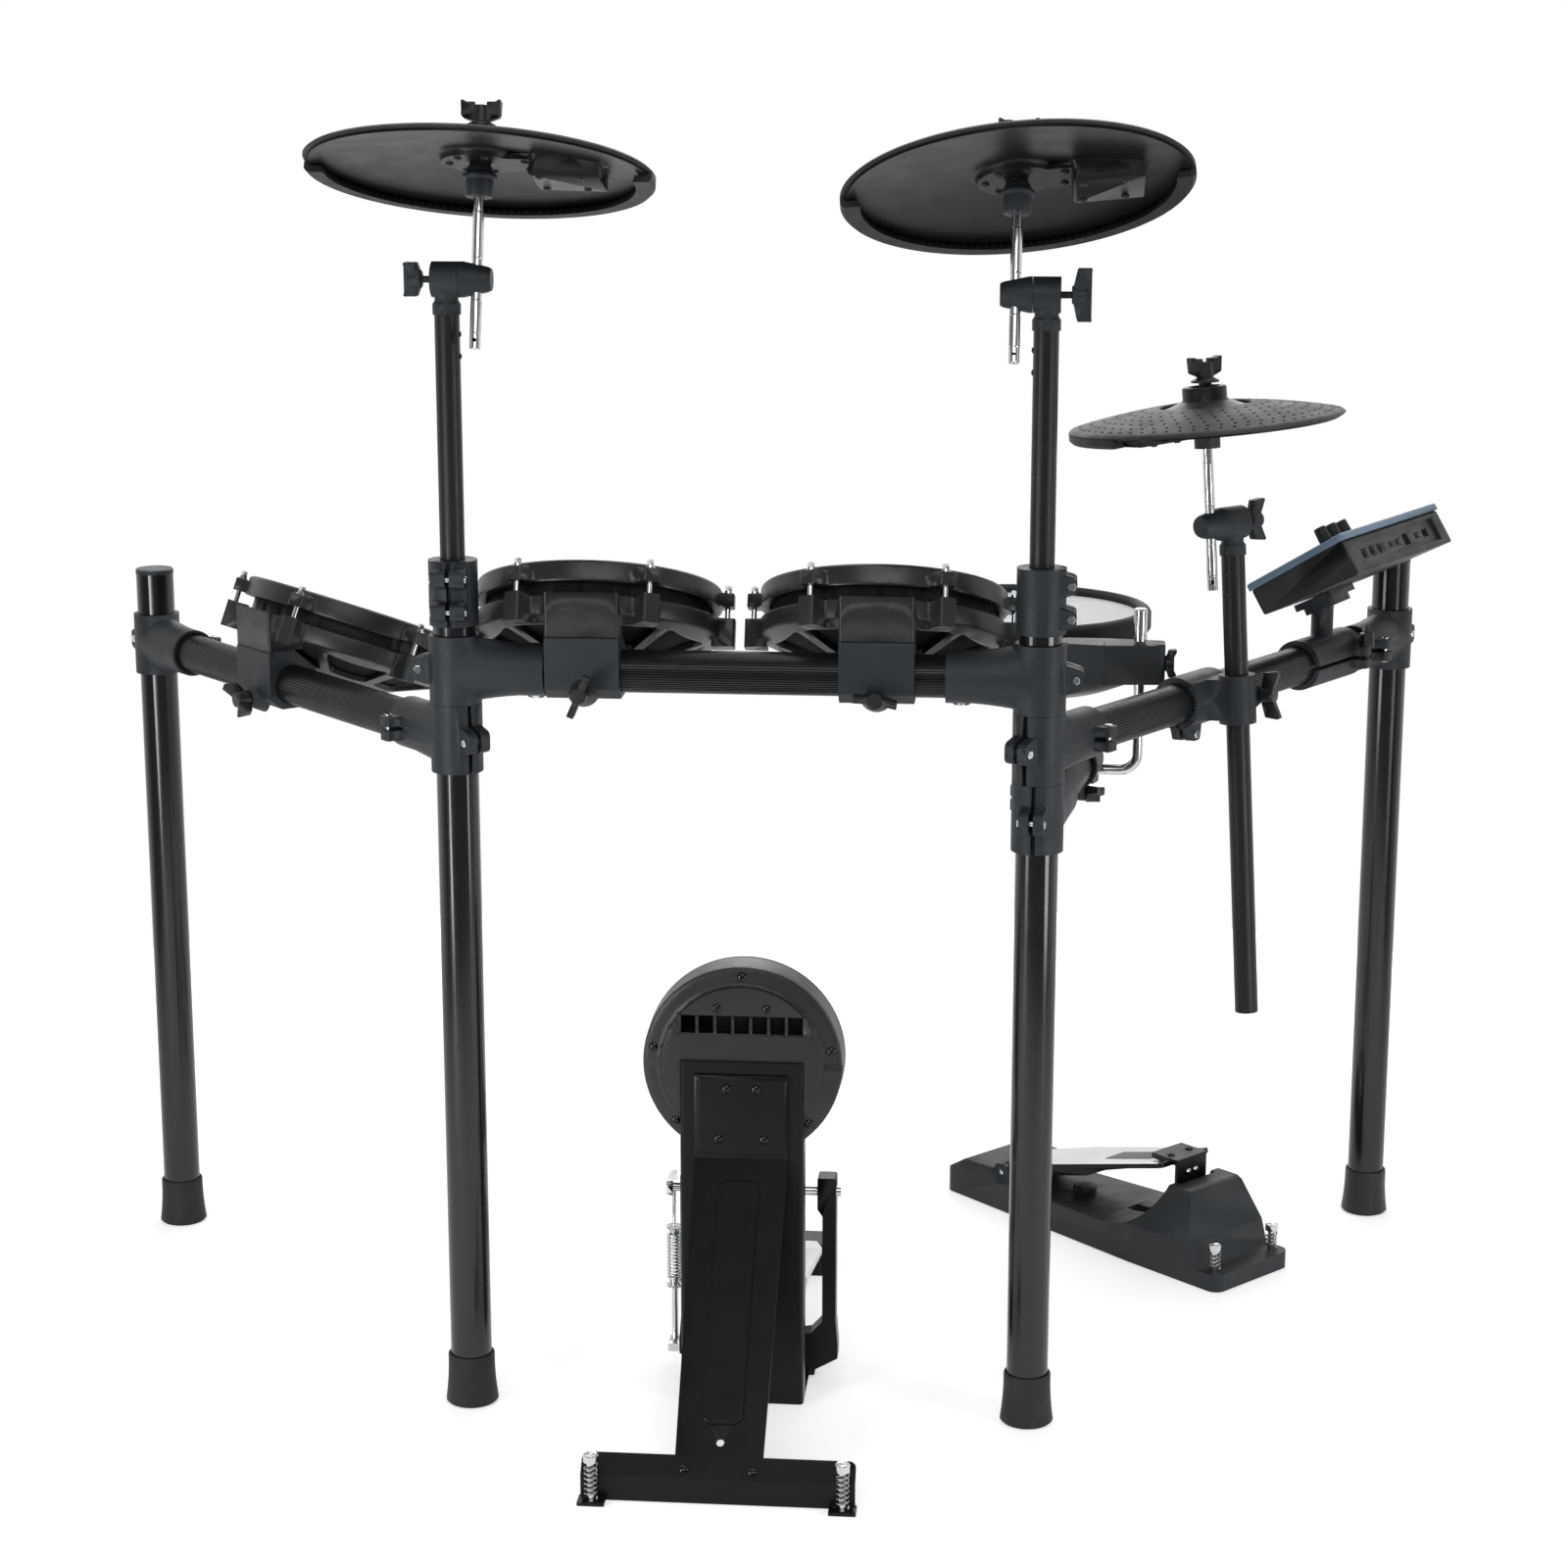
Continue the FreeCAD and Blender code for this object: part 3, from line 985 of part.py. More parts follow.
def tower_channel():
    """Steel channel that carries the kick pad, with a base flange for the pedal."""
    half = TOWER_WIDTH / 2
    back = TOWER_FRONT + TOWER_FLANGE
    outer = plate([(-half, TOWER_FRONT), (half, TOWER_FRONT), (half, back + 9), (-half, back + 9)], 4.0, TOWER_HEIGHT)
    inner = block((-half + SHEET, TOWER_BACK, -1), (half - SHEET, back + 20, TOWER_HEIGHT + 1))
    trim = block((-half - 1, back, -1), (half + 1, back + 20, TOWER_HEIGHT + 1))
    slope = prism([(TOWER_BACK + 8, TOWER_HEIGHT + 1), (back + 1, TOWER_HEIGHT - 110), (back + 1, TOWER_HEIGHT + 1)],
                  TOWER_WIDTH + 2)
    slope = place(slope, V(-half - 1, 0, 0), X_AXIS, Y_AXIS)
    wide_pad = Part.makeCylinder(KICK_PAD_R + CLEAR, 100, V(0, TOWER_BACK, KICK_PAD_Z), Y_AXIS)
    base = block((-half, TOWER_FRONT + 4, 0), (half, TOWER_FRONT + TOWER_BASE_DEPTH, SHEET))
    body = fused(outer.cut(inner).cut(trim).cut(slope).cut(wide_pad), base)
    return place(body, V(KICK_X, 0, 0))


def leg():
    """Bent leg plate with an embossed rib, bolted between the channel and the foot bar."""
    wall = SHEET
    bend_y = TOWER_FRONT - SEAT
    run = bend_y - LEG_FOOT_Y
    fall = LEG_BEND - LEG_FOOT_Z
    angle = math.atan2(fall, run)
    lift = wall / math.cos(angle)
    turn = wall * math.tan((math.pi / 2 - angle) / 2)
    side = [(bend_y, LEG_TOP), (bend_y - wall, LEG_TOP), (bend_y - wall, LEG_BEND + turn),
            (LEG_FOOT_Y, LEG_FOOT_Z + lift), (LEG_FOOT_Y, LEG_FOOT_Z), (bend_y, LEG_BEND)]
    half = LEG_TOP_WIDTH / 2
    body = place(prism(side, LEG_TOP_WIDTH), V(-half, 0, 0), X_AXIS, Y_AXIS)
    foot_half = LEG_FOOT_WIDTH / 2
    keep = prism([(-half, LEG_TOP + 1), (-half, LEG_BEND), (-foot_half, LEG_FOOT_Z - 20), (foot_half, LEG_FOOT_Z - 20),
                  (half, LEG_BEND), (half, LEG_TOP + 1)], 400)
    body = body.common(place(keep, V(0, 100, 0), -Y_AXIS))
    along = V(0, -math.cos(angle), -math.sin(angle))
    up = V(0, -math.sin(angle), math.cos(angle))
    wide, long, high = EMBOSS
    rib = plate([(0, -wide / 2), (long, -wide / 2), (long, wide / 2), (0, wide / 2)], wide * 0.27, high)
    rim = [e for e in rib.Edges if e.BoundBox.ZMin > high - 0.01]
    rib = rib.makeFillet(high * 0.8, rim)
    start = V(0, bend_y, LEG_BEND) + along * EMBOSS_START + up * wall
    body = fused(body, place(rib, start - up * 0.2, up, along))
    panel = plate([(-half + 3, LEG_BEND + 6), (half - 3, LEG_BEND + 6), (half - 3, LEG_TOP - 3), (-half + 3, LEG_TOP - 3)],
                  3.0, 1.6)
    body = fused(body, place(panel, V(0, bend_y - wall + 0.2, 0), -Y_AXIS))
    hole = start + along * (long + LEG_HOLE_BELOW) - up * 20
    return place(body.cut(Part.makeCylinder(LEG_HOLE_R, 40, hole, up)), V(KICK_X, 0, 0))


def foot_bar():
    """Folded foot bar: sloped flange over the leg's end, upright face and a tab at each end."""
    half = FOOT_BAR_WIDTH / 2
    angle = math.atan2(LEG_BEND - LEG_FOOT_Z, TOWER_FRONT - SEAT - LEG_FOOT_Y)
    sink = SHEET / math.cos(angle)
    face = FOOT_BAR_FRONT
    back = face + FOOT_BAR_FLANGE

    def flange(y):
        return LEG_FOOT_Z + (y - LEG_FOOT_Y) * math.tan(angle) + sink + SEAT

    inside = face + SHEET
    side = [(face, 0), (face, flange(face) + sink), (back, flange(back) + sink), (back, flange(back)),
            (inside, flange(inside)), (inside, 0)]
    body = place(prism(side, FOOT_BAR_WIDTH), V(-half, 0, 0), X_AXIS, Y_AXIS)
    top = flange(back) + sink
    outline = plate([(-half, -top), (half, -top), (half, top), (-half, top)], FOOT_BAR_CORNER, 2 * FOOT_BAR_FLANGE)
    body = body.common(place(outline, V(0, back + 1, 0), -Y_AXIS))
    wide, deep = FOOT_BAR_TAB
    for side_x in (-1, 1):
        tab = plate([(-wide / 2, face - deep), (wide / 2, face - deep), (wide / 2, inside), (-wide / 2, inside)], 1.0, SHEET)
        tab = tab.cut(Part.makeCylinder(ANCHOR_R + SEAT, SHEET, V(0, face - deep / 2, 0)))
        body = fused(body, place(tab, V(side_x * ANCHOR_PLACE, 0, 0)))
    return place(body, V(KICK_X, 0, 0))


def kick_housing():
    """Round dish behind the kick pad: stepped back, vents, rim wall and socket boss."""
    depth = KICK_HOUSING_DEPTH
    inner = KICK_DISC_R
    body = lathe((0, 0), (inner - 1.5, 0), (inner, 1.5), (inner, 4), (KICK_PAD_R - 2.5, 5), (KICK_PAD_R - 1, 7),
                 (KICK_PAD_R, depth), (KICK_PAD_R - 4, depth), (KICK_PAD_R - 5, 9), (inner - 3, 8), (inner - 4, 5),
                 (0, 5))
    slot_half = VENTS * VENT_PITCH / 2
    tall = VENT_SIZE[1]
    recess = plate([(-slot_half - 3, -tall / 2 - 1), (slot_half + 3, -tall / 2 - 1), (slot_half + 3, tall / 2 + 1),
                    (-slot_half - 3, tall / 2 + 1)], 5.0, 1.5)
    body = body.cut(place(recess, V(0, VENT_Z, 0)))
    for i in range(VENTS):
        x = (i - (VENTS - 1) / 2) * VENT_PITCH
        wide = VENT_SIZE[0] / 2
        body = body.cut(block((x - wide, VENT_Z - tall / 2, -1), (x + wide, VENT_Z + tall / 2, 9)))
    ribs = [block((-1.5, -inner + 8, 4.5), (1.5, VENT_Z - tall, depth - 4)),
            block((-inner + 8, -1.5, 4.5), (inner - 8, 1.5, depth - 4))]
    boss = Part.makeCylinder(9, 20, V(21 - KICK_PAD_R, -4, 12), -X_AXIS)
    body = fused(body, *ribs, boss)
    body = body.cut(Part.makeCylinder(JACK_R, 16, V(15 - KICK_PAD_R, -4, 12), -X_AXIS))
    return place(body, V(KICK_X, TOWER_BACK + SEAT, KICK_PAD_Z), Y_AXIS, -X_AXIS)


def kick_face():
    """Striking pad: a crowned disc seated on the housing's rim."""
    start = KICK_HOUSING_DEPTH + 2 * SEAT
    thick = KICK_FACE_DEPTH - 2 * SEAT
    body = lathe((0, start), (KICK_PAD_R - 1, start), (KICK_PAD_R, start + 1.5), (KICK_PAD_R - 1, start + thick - 2.5),
                 (KICK_PAD_R - 5, start + thick - 0.6), ((KICK_PAD_R / 2, start + thick - 0.2), (6, start + thick)),
                 (0, start + thick))
    return place(body, V(KICK_X, TOWER_BACK, KICK_PAD_Z), Y_AXIS, -X_AXIS)


def least_gap(path, wire_r, apart):
    """Least clear distance between turns of a wound wire, from points along its centre line."""
    points = []
    run = 0.0
    for edge in path.OrderedEdges:
        for point in edge.discretize(GAP_POINTS):
            if points:
                run += (point - points[-1][0]).Length
            points.append((point, run))
    nearest = min((a - b).Length for a, u in points for b, v in points if v - u > apart)
    return nearest - 2 * wire_r


def coil(coil_r, wire_r, turns, length):
    """Spring about Z: a wound wire whose ends turn down and run straight into what they stand on."""
    straight = 2 * wire_r
    bend = WIRE_BEND * wire_r
    lead = straight + bend
    pitch = (length - 2 * lead) / turns
    climb = math.atan2(pitch, 2 * math.pi * coil_r)
    swing = math.pi / 2 - climb
    lead = straight + bend * math.sin(swing)
    pitch = (length - 2 * lead) / turns

    def at(turn):
        return V(coil_r * math.cos(turn * 2 * math.pi), coil_r * math.sin(turn * 2 * math.pi), lead + pitch * turn)

    def bent(angle):
        return V(coil_r, -bend * (math.cos(angle) - math.cos(swing)), straight + bend * math.sin(angle))

    low_end = [Part.LineSegment(bent(0) - V(0, 0, straight), bent(0)).toShape(),
               Part.Arc(bent(0), bent(swing / 2), at(0)).toShape()]
    turn_over = FreeCAD.Rotation(X_AXIS, 180)
    high_end = []
    for edge in low_end:
        flipped = edge.copy()
        flipped.Placement = FreeCAD.Placement(V(0, 0, length), turn_over)
        high_end.insert(0, flipped)
    quarters = [Part.Arc(at(q / 4), at(q / 4 + 0.125), at(q / 4 + 0.25)).toShape() for q in range(turns * 4)]
    path = Part.Wire(Part.__sortEdges__(low_end + quarters + high_end))
    section = Part.Wire(Part.makeCircle(wire_r, bent(0) - V(0, 0, straight)))
    gap = least_gap(path, wire_r, math.pi * coil_r)
    print("spring of", turns, "turns, least gap to itself", round(gap, 2), "mm")
    return path.makePipeShell([section], True, False)


def anchor(at, lip_top, turns):
    """Anchor screw with a pointed tip, and the spring between its head and the lip that it passes."""
    height = ANCHOR_HEIGHT
    top = height - ANCHOR_HEAD
    screw = lathe((0, 0.2), (ANCHOR_R, 6), (ANCHOR_R, top), (ANCHOR_HEAD_R, top), (ANCHOR_HEAD_R, height - 1),
                  (ANCHOR_HEAD_R - 1, height), (0, height))
    slot = block((-ANCHOR_HEAD_R, -0.8, height - 2.5), (ANCHOR_HEAD_R, 0.8, height + 1))
    spring = coil(ANCHOR_COIL_R, ANCHOR_WIRE_R, turns, top - lip_top - 2 * SEAT)
    return [place(screw.cut(slot), at), place(spring, at + V(0, 0, lip_top + SEAT))]


def pedal_frame():
    """Cast pedal frame with two posts and bearings, the heel plate and the two radius rods."""
    half = PEDAL_HALF
    inner = half - PEDAL_POST_WIDE
    bearing = half - BEARING_WIDE
    foot_in, foot_out = PEDAL_FOOT
    low = SHEET + CLEAR
    outline = [(inner, 58), (inner, SHAFT_Z - BEARING_RISE - 7), (bearing, SHAFT_Z - BEARING_RISE),
               (bearing, SHAFT_Z + BEARING_RISE), (half, SHAFT_Z + BEARING_RISE), (half, 60), (half + 2, 34),
               (half + 2, 21), (foot_out, 9), (foot_out, low), (foot_in, low), (foot_in, 44), (inner - 11, 46)]
    post_start = SHAFT_Y + PEDAL_POST_DEEP / 2
    right = place(plate(outline, 2.0, PEDAL_POST_DEEP), V(0, post_start, 0), -Y_AXIS)
    left = right.mirror(V(), X_AXIS)
    bridge = block((-foot_in - 4, SHAFT_Y - 16, low), (foot_in + 4, SHAFT_Y + 14, PEDAL_BASE_TOP))
    casting = fused(right, left, bridge)
    casting = casting.cut(Part.makeCylinder(SHAFT_R + 0.08, 4 * half, V(-2 * half, SHAFT_Y, SHAFT_Z), X_AXIS))
    for side in (-1, 1):
        hole_start = V(side * RADIUS_ROD_X, SHAFT_Y, RADIUS_ROD_Z)
        casting = casting.cut(Part.makeCylinder(RADIUS_ROD_R + SEAT, 60, hole_start, Y_AXIS))
    heel_front = HEEL_Y - 12
    heel = plate([(-46, heel_front), (46, heel_front), (40, HEEL_Y + 74), (-40, HEEL_Y + 74)], 8.0, 16)
    heel = heel.cut(block((-60, HEEL_Y - 40, 14), (60, HEEL_Y + 10, 60)))
    lugs = []
    for side in (-1, 1):
        lug = plate([(HEEL_Y - 10, 6), (HEEL_Y + 10, 6), (HEEL_Y + 7, HEEL_Z + 7), (HEEL_Y - 7, HEEL_Z + 7)], 3.0, 7)
        lugs.append(place(lug, V(side * 42 - 3.5, 0, 0), X_AXIS, Y_AXIS))
    pin = Part.makeCylinder(PIN_R, 84, V(-42, HEEL_Y, HEEL_Z), X_AXIS)
    heel = fused(heel, *lugs, pin)
    rods = []
    for side in (-1, 1):
        start = V(side * RADIUS_ROD_X, SHAFT_Y + SEAT, RADIUS_ROD_Z)
        finish = V(side * RADIUS_ROD_X, heel_front + 20, RADIUS_ROD_Z)
        rods.append(rod(RADIUS_ROD_R, start, finish))
        seat = V(side * RADIUS_ROD_X, heel_front - 10, RADIUS_ROD_Z)
        heel = heel.cut(Part.makeCylinder(RADIUS_ROD_R + SEAT, 40, seat, Y_AXIS))
    return [place(s, V(PEDAL_X, 0, 0)) for s in [casting, heel] + rods]


def board_line():
    """Length and lean of the kick footboard from its heel pivot to its toe pivot."""
    run = HEEL_Y - TOE_Y
    rise = TOE_Z - HEEL_Z
    return math.hypot(run, rise), math.atan2(rise, run)


def pedal_board():
    """Ribbed footboard with a knuckle at the heel and a forked toe for the drive link."""
    length, lean = board_line()
    half = BOARD_WIDTH / 2
    low = PIN_R + 3
    body = plate([(14, -half * 0.8), (60, -half), (length - 50, -half), (length - 8, -20), (length - 8, 20),
                  (length - 50, half), (60, half), (14, half * 0.8)], 5.0, BOARD_THICK)
    body = place(body, V(0, 0, low - 1))
    grooves = [block((70 + i * 22, -half + 8, low + BOARD_THICK - 2), (76 + i * 22, half - 8, low + BOARD_THICK))
               for i in range(8)]
    body = body.cut(Part.makeCompound(grooves))
    knuckle = Part.makeCylinder(PIN_R + 3.5, 70, V(0, -35, 0), Y_AXIS)
    web = block((0, -35, 0), (30, 35, low + 2))
    fork = []
    for side in (-1, 1):
        ear = plate([(length - 40, 2), (length + 7, -7), (length + 7, 7), (length - 20, low + 3)], 3.0, 5)
        fork.append(place(ear, V(0, side * 9.5 + 2.5, 0), -Y_AXIS))
    body = fused(body, knuckle, web, *fork)
    body = body.cut(Part.makeCylinder(PIN_R + 0.08, 80, V(0, -40, 0), Y_AXIS))
    pin = Part.makeCylinder(PIN_R, 24, V(length, -12, 0), Y_AXIS)
    body = fused(body, pin)
    way = V(0, -math.cos(lean), math.sin(lean))
    return place(body, V(PEDAL_X, HEEL_Y, HEEL_Z), V(0, math.sin(lean), math.cos(lean)), way)


def cam_pin():
    """Place of the cam's drive pin at rest."""
    rest = math.radians(BEATER_REST / 2)
    return V(0, SHAFT_Y - CAM_REACH * math.cos(rest), SHAFT_Z + CAM_REACH * math.sin(rest))


def drive_link():
    """Link from the footboard's toe to the cam: a close eye below, a wide one round the cam's pin."""
    low = V(0, TOE_Y, TOE_Z)
    high = cam_pin()
    span = (high - low).Length
    bar = block((-LINK_THICK / 2, -LINK_WIDTH / 2, 0), (LINK_THICK / 2, LINK_WIDTH / 2, span))
    body = bar
    for z, radius in ((0, PIN_R + 4), (span, PIN_R + OPEN_PIVOT_CLEAR + 3)):
        body = fused(body, Part.makeCylinder(radius, LINK_THICK, V(-LINK_THICK / 2, 0, z), X_AXIS))
    body = body.cut(Part.makeCylinder(PIN_R + 0.08, 20, V(-10, 0, 0), X_AXIS))
    body = body.cut(Part.makeCylinder(PIN_R + OPEN_PIVOT_CLEAR, 20, V(-10, 0, span), X_AXIS))
    return place(body, V(PEDAL_X, 0, 0) + low, high - low, X_AXIS)


def beater():
    """Shaft with cam fork and rocker, and the beater's rod and felt head, at rest."""
    shaft = rod(SHAFT_R, V(ROCKER_X - 8, SHAFT_Y, SHAFT_Z), V(PEDAL_HALF + 4, SHAFT_Y, SHAFT_Z))
    pin = cam_pin()
    toward = V(0, pin.y - SHAFT_Y, pin.z - SHAFT_Z).normalize()
    gap = LINK_THICK / 2 + 0.6
    cheeks = []
    for side in (-1, 1):
        cheek = plate([(-14, -13), (CAM_REACH + 7, -7), (CAM_REACH + 7, 7), (-14, 13)], 6.0, 5)
        start = V(side * (gap + 2.5) - 2.5, SHAFT_Y, SHAFT_Z)
        cheeks.append(place(cheek, start, X_AXIS, toward))
    hub = Part.makeCylinder(15, 26, V(-13, SHAFT_Y, SHAFT_Z), X_AXIS)
    room = Part.makeCylinder(CAM_REACH + 20, 2 * gap, V(-gap, pin.y, pin.z), X_AXIS)
    hub = hub.cut(room.common(place(block((16, -60, -60), (90, 60, 60)), V(0, SHAFT_Y, SHAFT_Z), X_AXIS, toward)))
    drive = Part.makeCylinder(PIN_R, 2 * gap + 10, V(-gap - 5, pin.y, pin.z), X_AXIS)
    rocker = plate([(-9, -8), (ROCKER_REACH + 6, -5), (ROCKER_REACH + 6, 5), (-9, 8)], 4.0, 6)
    rocker = place(rocker, V(ROCKER_X - 3 - 6, SHAFT_Y, SHAFT_Z), X_AXIS, Y_AXIS)
    cam = fused(shaft, hub, *cheeks, drive, rocker)
    rest = math.radians(BEATER_REST)
    way = V(0, math.sin(rest), math.cos(rest))
    centre = V(0, SHAFT_Y, SHAFT_Z)
    stem = rod(BEATER_ROD_R, centre + way * (15 + SEAT), centre + way * (BEATER_LENGTH + 6))
    length = BEATER_HEAD_LENGTH
    head = lathe((0, -length / 2), (BEATER_HEAD_R - 3, -length / 2), (BEATER_HEAD_R, -length / 2 + 3),
                 (BEATER_HEAD_R, length / 2 - 3), (BEATER_HEAD_R - 3, length / 2), (0, length / 2))
    head = place(head, centre + way * BEATER_LENGTH, V(0, way.z, -way.y), X_AXIS)
    head = head.cut(rod(BEATER_ROD_R + SEAT, centre, centre + way * (BEATER_LENGTH + 60)))
    return [place(s, V(PEDAL_X, 0, 0)) for s in (cam, stem, head)]


def return_spring():
    """Wound return spring that hangs from the rocker, with the hook rod under it."""
    top = V(PEDAL_X + ROCKER_X - 6, SHAFT_Y + ROCKER_REACH, SHAFT_Z - 6)
    wound = coil(SPRING_COIL_R, SPRING_WIRE_R, SPRING_TURNS, SPRING_LENGTH)
    high = top - V(0, 0, SPRING_HOOK)
    low = high - V(0, 0, SPRING_LENGTH)
    core = SPRING_COIL_R - SPRING_WIRE_R - SEAT
    flange = SPRING_COIL_R + SPRING_WIRE_R + SEAT
    plug = lathe((0, -SEAT - 2), (flange, -SEAT - 2), (flange, -SEAT), (core, -SEAT), (core, 8), (0, 8))
    upper = fused(rod(2.0, top, high), place(plug, high, -Z_AXIS))
    stay = rod(3.0, V(low.x, low.y, 16), low)
    lower = fused(stay, place(plug, low))
    lug = block((low.x - 5, SHAFT_Y + 10, 14), (low.x + 5, low.y + 5, 22))
    return [place(wound, low), upper, fused(lower, lug)]


def hh_point(along, across, height):
    """Point given along the hi-hat pedal from its toe, across it and up."""
    return HH_ORIGIN + HH_WAY * along + HH_SIDE * across + V(0, 0, height)


def in_hihat_pedal(shape):
    """Place a shape made with X from the toe to the heel."""
    return place(shape, HH_ORIGIN, Z_AXIS, HH_WAY)


def hh_base():
    """Moulded pedal base: toe ledge, hump with a slot for the board, low deck and heel cap."""
    half = HH_WIDTH / 2
    heel_half = HH_HEEL_WIDTH / 2
    plan = plate([(0, -half), (120, -half), (HH_LENGTH, -heel_half), (HH_LENGTH, heel_half), (120, half), (0, half)],
                 12.0, 200)
    top = HH_HUMP
    deck = HH_DECK
    points = [(0, 0), (0, HH_LEDGE), (32, HH_LEDGE), (53, top - 4), (58, top), (84, top)]
    edges = [Part.LineSegment(V(a[0], a[1], 0), V(b[0], b[1], 0)).toShape() for a, b in zip(points, points[1:])]
    swoop = Part.Arc(V(84, top, 0), V(116, deck + 14, 0), V(168, deck, 0)).toShape()
    heel = deck + HH_HEEL_RISE
    tail = [(168, deck), (318, deck - 4), (330, heel), (372, heel), (HH_LENGTH - 2, deck - 8), (HH_LENGTH, 0), (0, 0)]
    edges += [swoop]
    edges += [Part.LineSegment(V(a[0], a[1], 0), V(b[0], b[1], 0)).toShape() for a, b in zip(tail, tail[1:])]
    side = Part.Face(Part.Wire(edges)).extrude(V(0, 0, HH_WIDTH))
    side = place(side, V(0, half, 0), -Y_AXIS)
    hump_half = HH_HUMP_WIDTH / 2
    front = plate([(-half, -5), (half, -5), (half, deck + 8), (hump_half, top + 6), (-hump_half, top + 6),
                   (-half, deck + 8)], 4.0, HH_LENGTH + 2)
    front = place(front, V(-1, 0, 0), X_AXIS, Y_AXIS)
    body = plan.common(side).common(front)
    near, far, wide = HH_BRACKET_ROOM
    body = body.cut(block((near, -wide / 2, deck - 4), (far, wide / 2, top + 1)))
    near, far, wide = HH_SLOT
    slot = plate([(near, -wide / 2), (far, -wide / 2), (far, wide / 2), (near, wide / 2)], 4.0, top)
    body = body.cut(place(slot, V(0, 0, deck - 8)))
    board_half = HH_BOARD_WIDTH / 2 - 6
    body = body.cut(block((HH_PIVOT[0] - 30, -board_half, deck - 6), (HH_PIVOT[0] + 12, board_half, top)))
    for side_y in (-1, 1):
        body = body.cut(Part.makeCylinder(ANCHOR_R + SEAT, 60, V(HH_ANCHOR[0], side_y * HH_ANCHOR[1], -1)))
    cheek_half = HH_BOARD_WIDTH / 2 - 6
    cheeks = []
    for side_y in (-1, 1):
        cheek = plate([(HH_PIVOT[0] - 16, 10), (HH_PIVOT[0] + 16, 10), (HH_PIVOT[0] + 9, HH_PIVOT[1] + 9),
                       (HH_PIVOT[0] - 9, HH_PIVOT[1] + 9)], 5.0, 6)
        cheeks.append(place(cheek, V(0, side_y * (cheek_half + 3) + 3, 0), -Y_AXIS))
    pin = Part.makeCylinder(PIN_R, 2 * cheek_half + 12, V(HH_PIVOT[0], -cheek_half - 6, HH_PIVOT[1]), Y_AXIS)
    stop = Part.makeCylinder(13, 8, V(236, 0, deck - 4))
    return in_hihat_pedal(fused(body, *cheeks, pin, stop))


def hh_board():
    """Footboard with a tapered side frame, heel knuckle and the bent bracket at its toe."""
    pivot = V(HH_PIVOT[0], 0, HH_PIVOT[1])
    toe = V(HH_BOARD_TOE[0], 0, HH_BOARD_TOE[1])
    way = (toe - pivot).normalize()
    length = (toe - pivot).Length
    half = HH_BOARD_WIDTH / 2
    heel_half = half - 10
    top = PIN_R + 6
    deck = plate([(8, -heel_half), (60, -half), (length, -half + 4), (length, half - 4), (60, half), (8, heel_half)],
                 5.0, HH_BOARD_THICK)
    deck = place(deck, V(0, 0, top - HH_BOARD_THICK))
    frame = []
    for side in (-1, 1):
        rail = plate([(0, -PIN_R - 3), (length * 0.5, -6), (length * 0.62, 0), (length, top - 4), (length, top - 1),
                      (0, top - 1)], 1.5, 4)
        frame.append(place(rail, V(0, side * (heel_half - 4) + 2, 0), -Y_AXIS))
    knuckle = Part.makeCylinder(PIN_R + 3.4, 2 * heel_half - 6, V(0, -heel_half + 3, 0), Y_AXIS)
    web = block((0, -heel_half + 3, 0), (14, heel_half - 3, top - 1))
    body = fused(deck, knuckle, web, *frame)
    body = body.cut(Part.makeCylinder(PIN_R + 0.08, 100, V(0, -50, 0), Y_AXIS))
    up = V(-way.z, 0, way.x) * -1
    body = place(body, pivot, up, way)
    fold = toe + up * top
    tab = block((fold.x - 9, -23, fold.z - 4), (fold.x + 26, 23, fold.z + 2))
    plunge = block((fold.x - 9, -23, fold.z - HH_PRESS_ROOM - 22), (fold.x - 6, 23, fold.z + 2))
    return in_hihat_pedal(fused(body, tab, plunge))


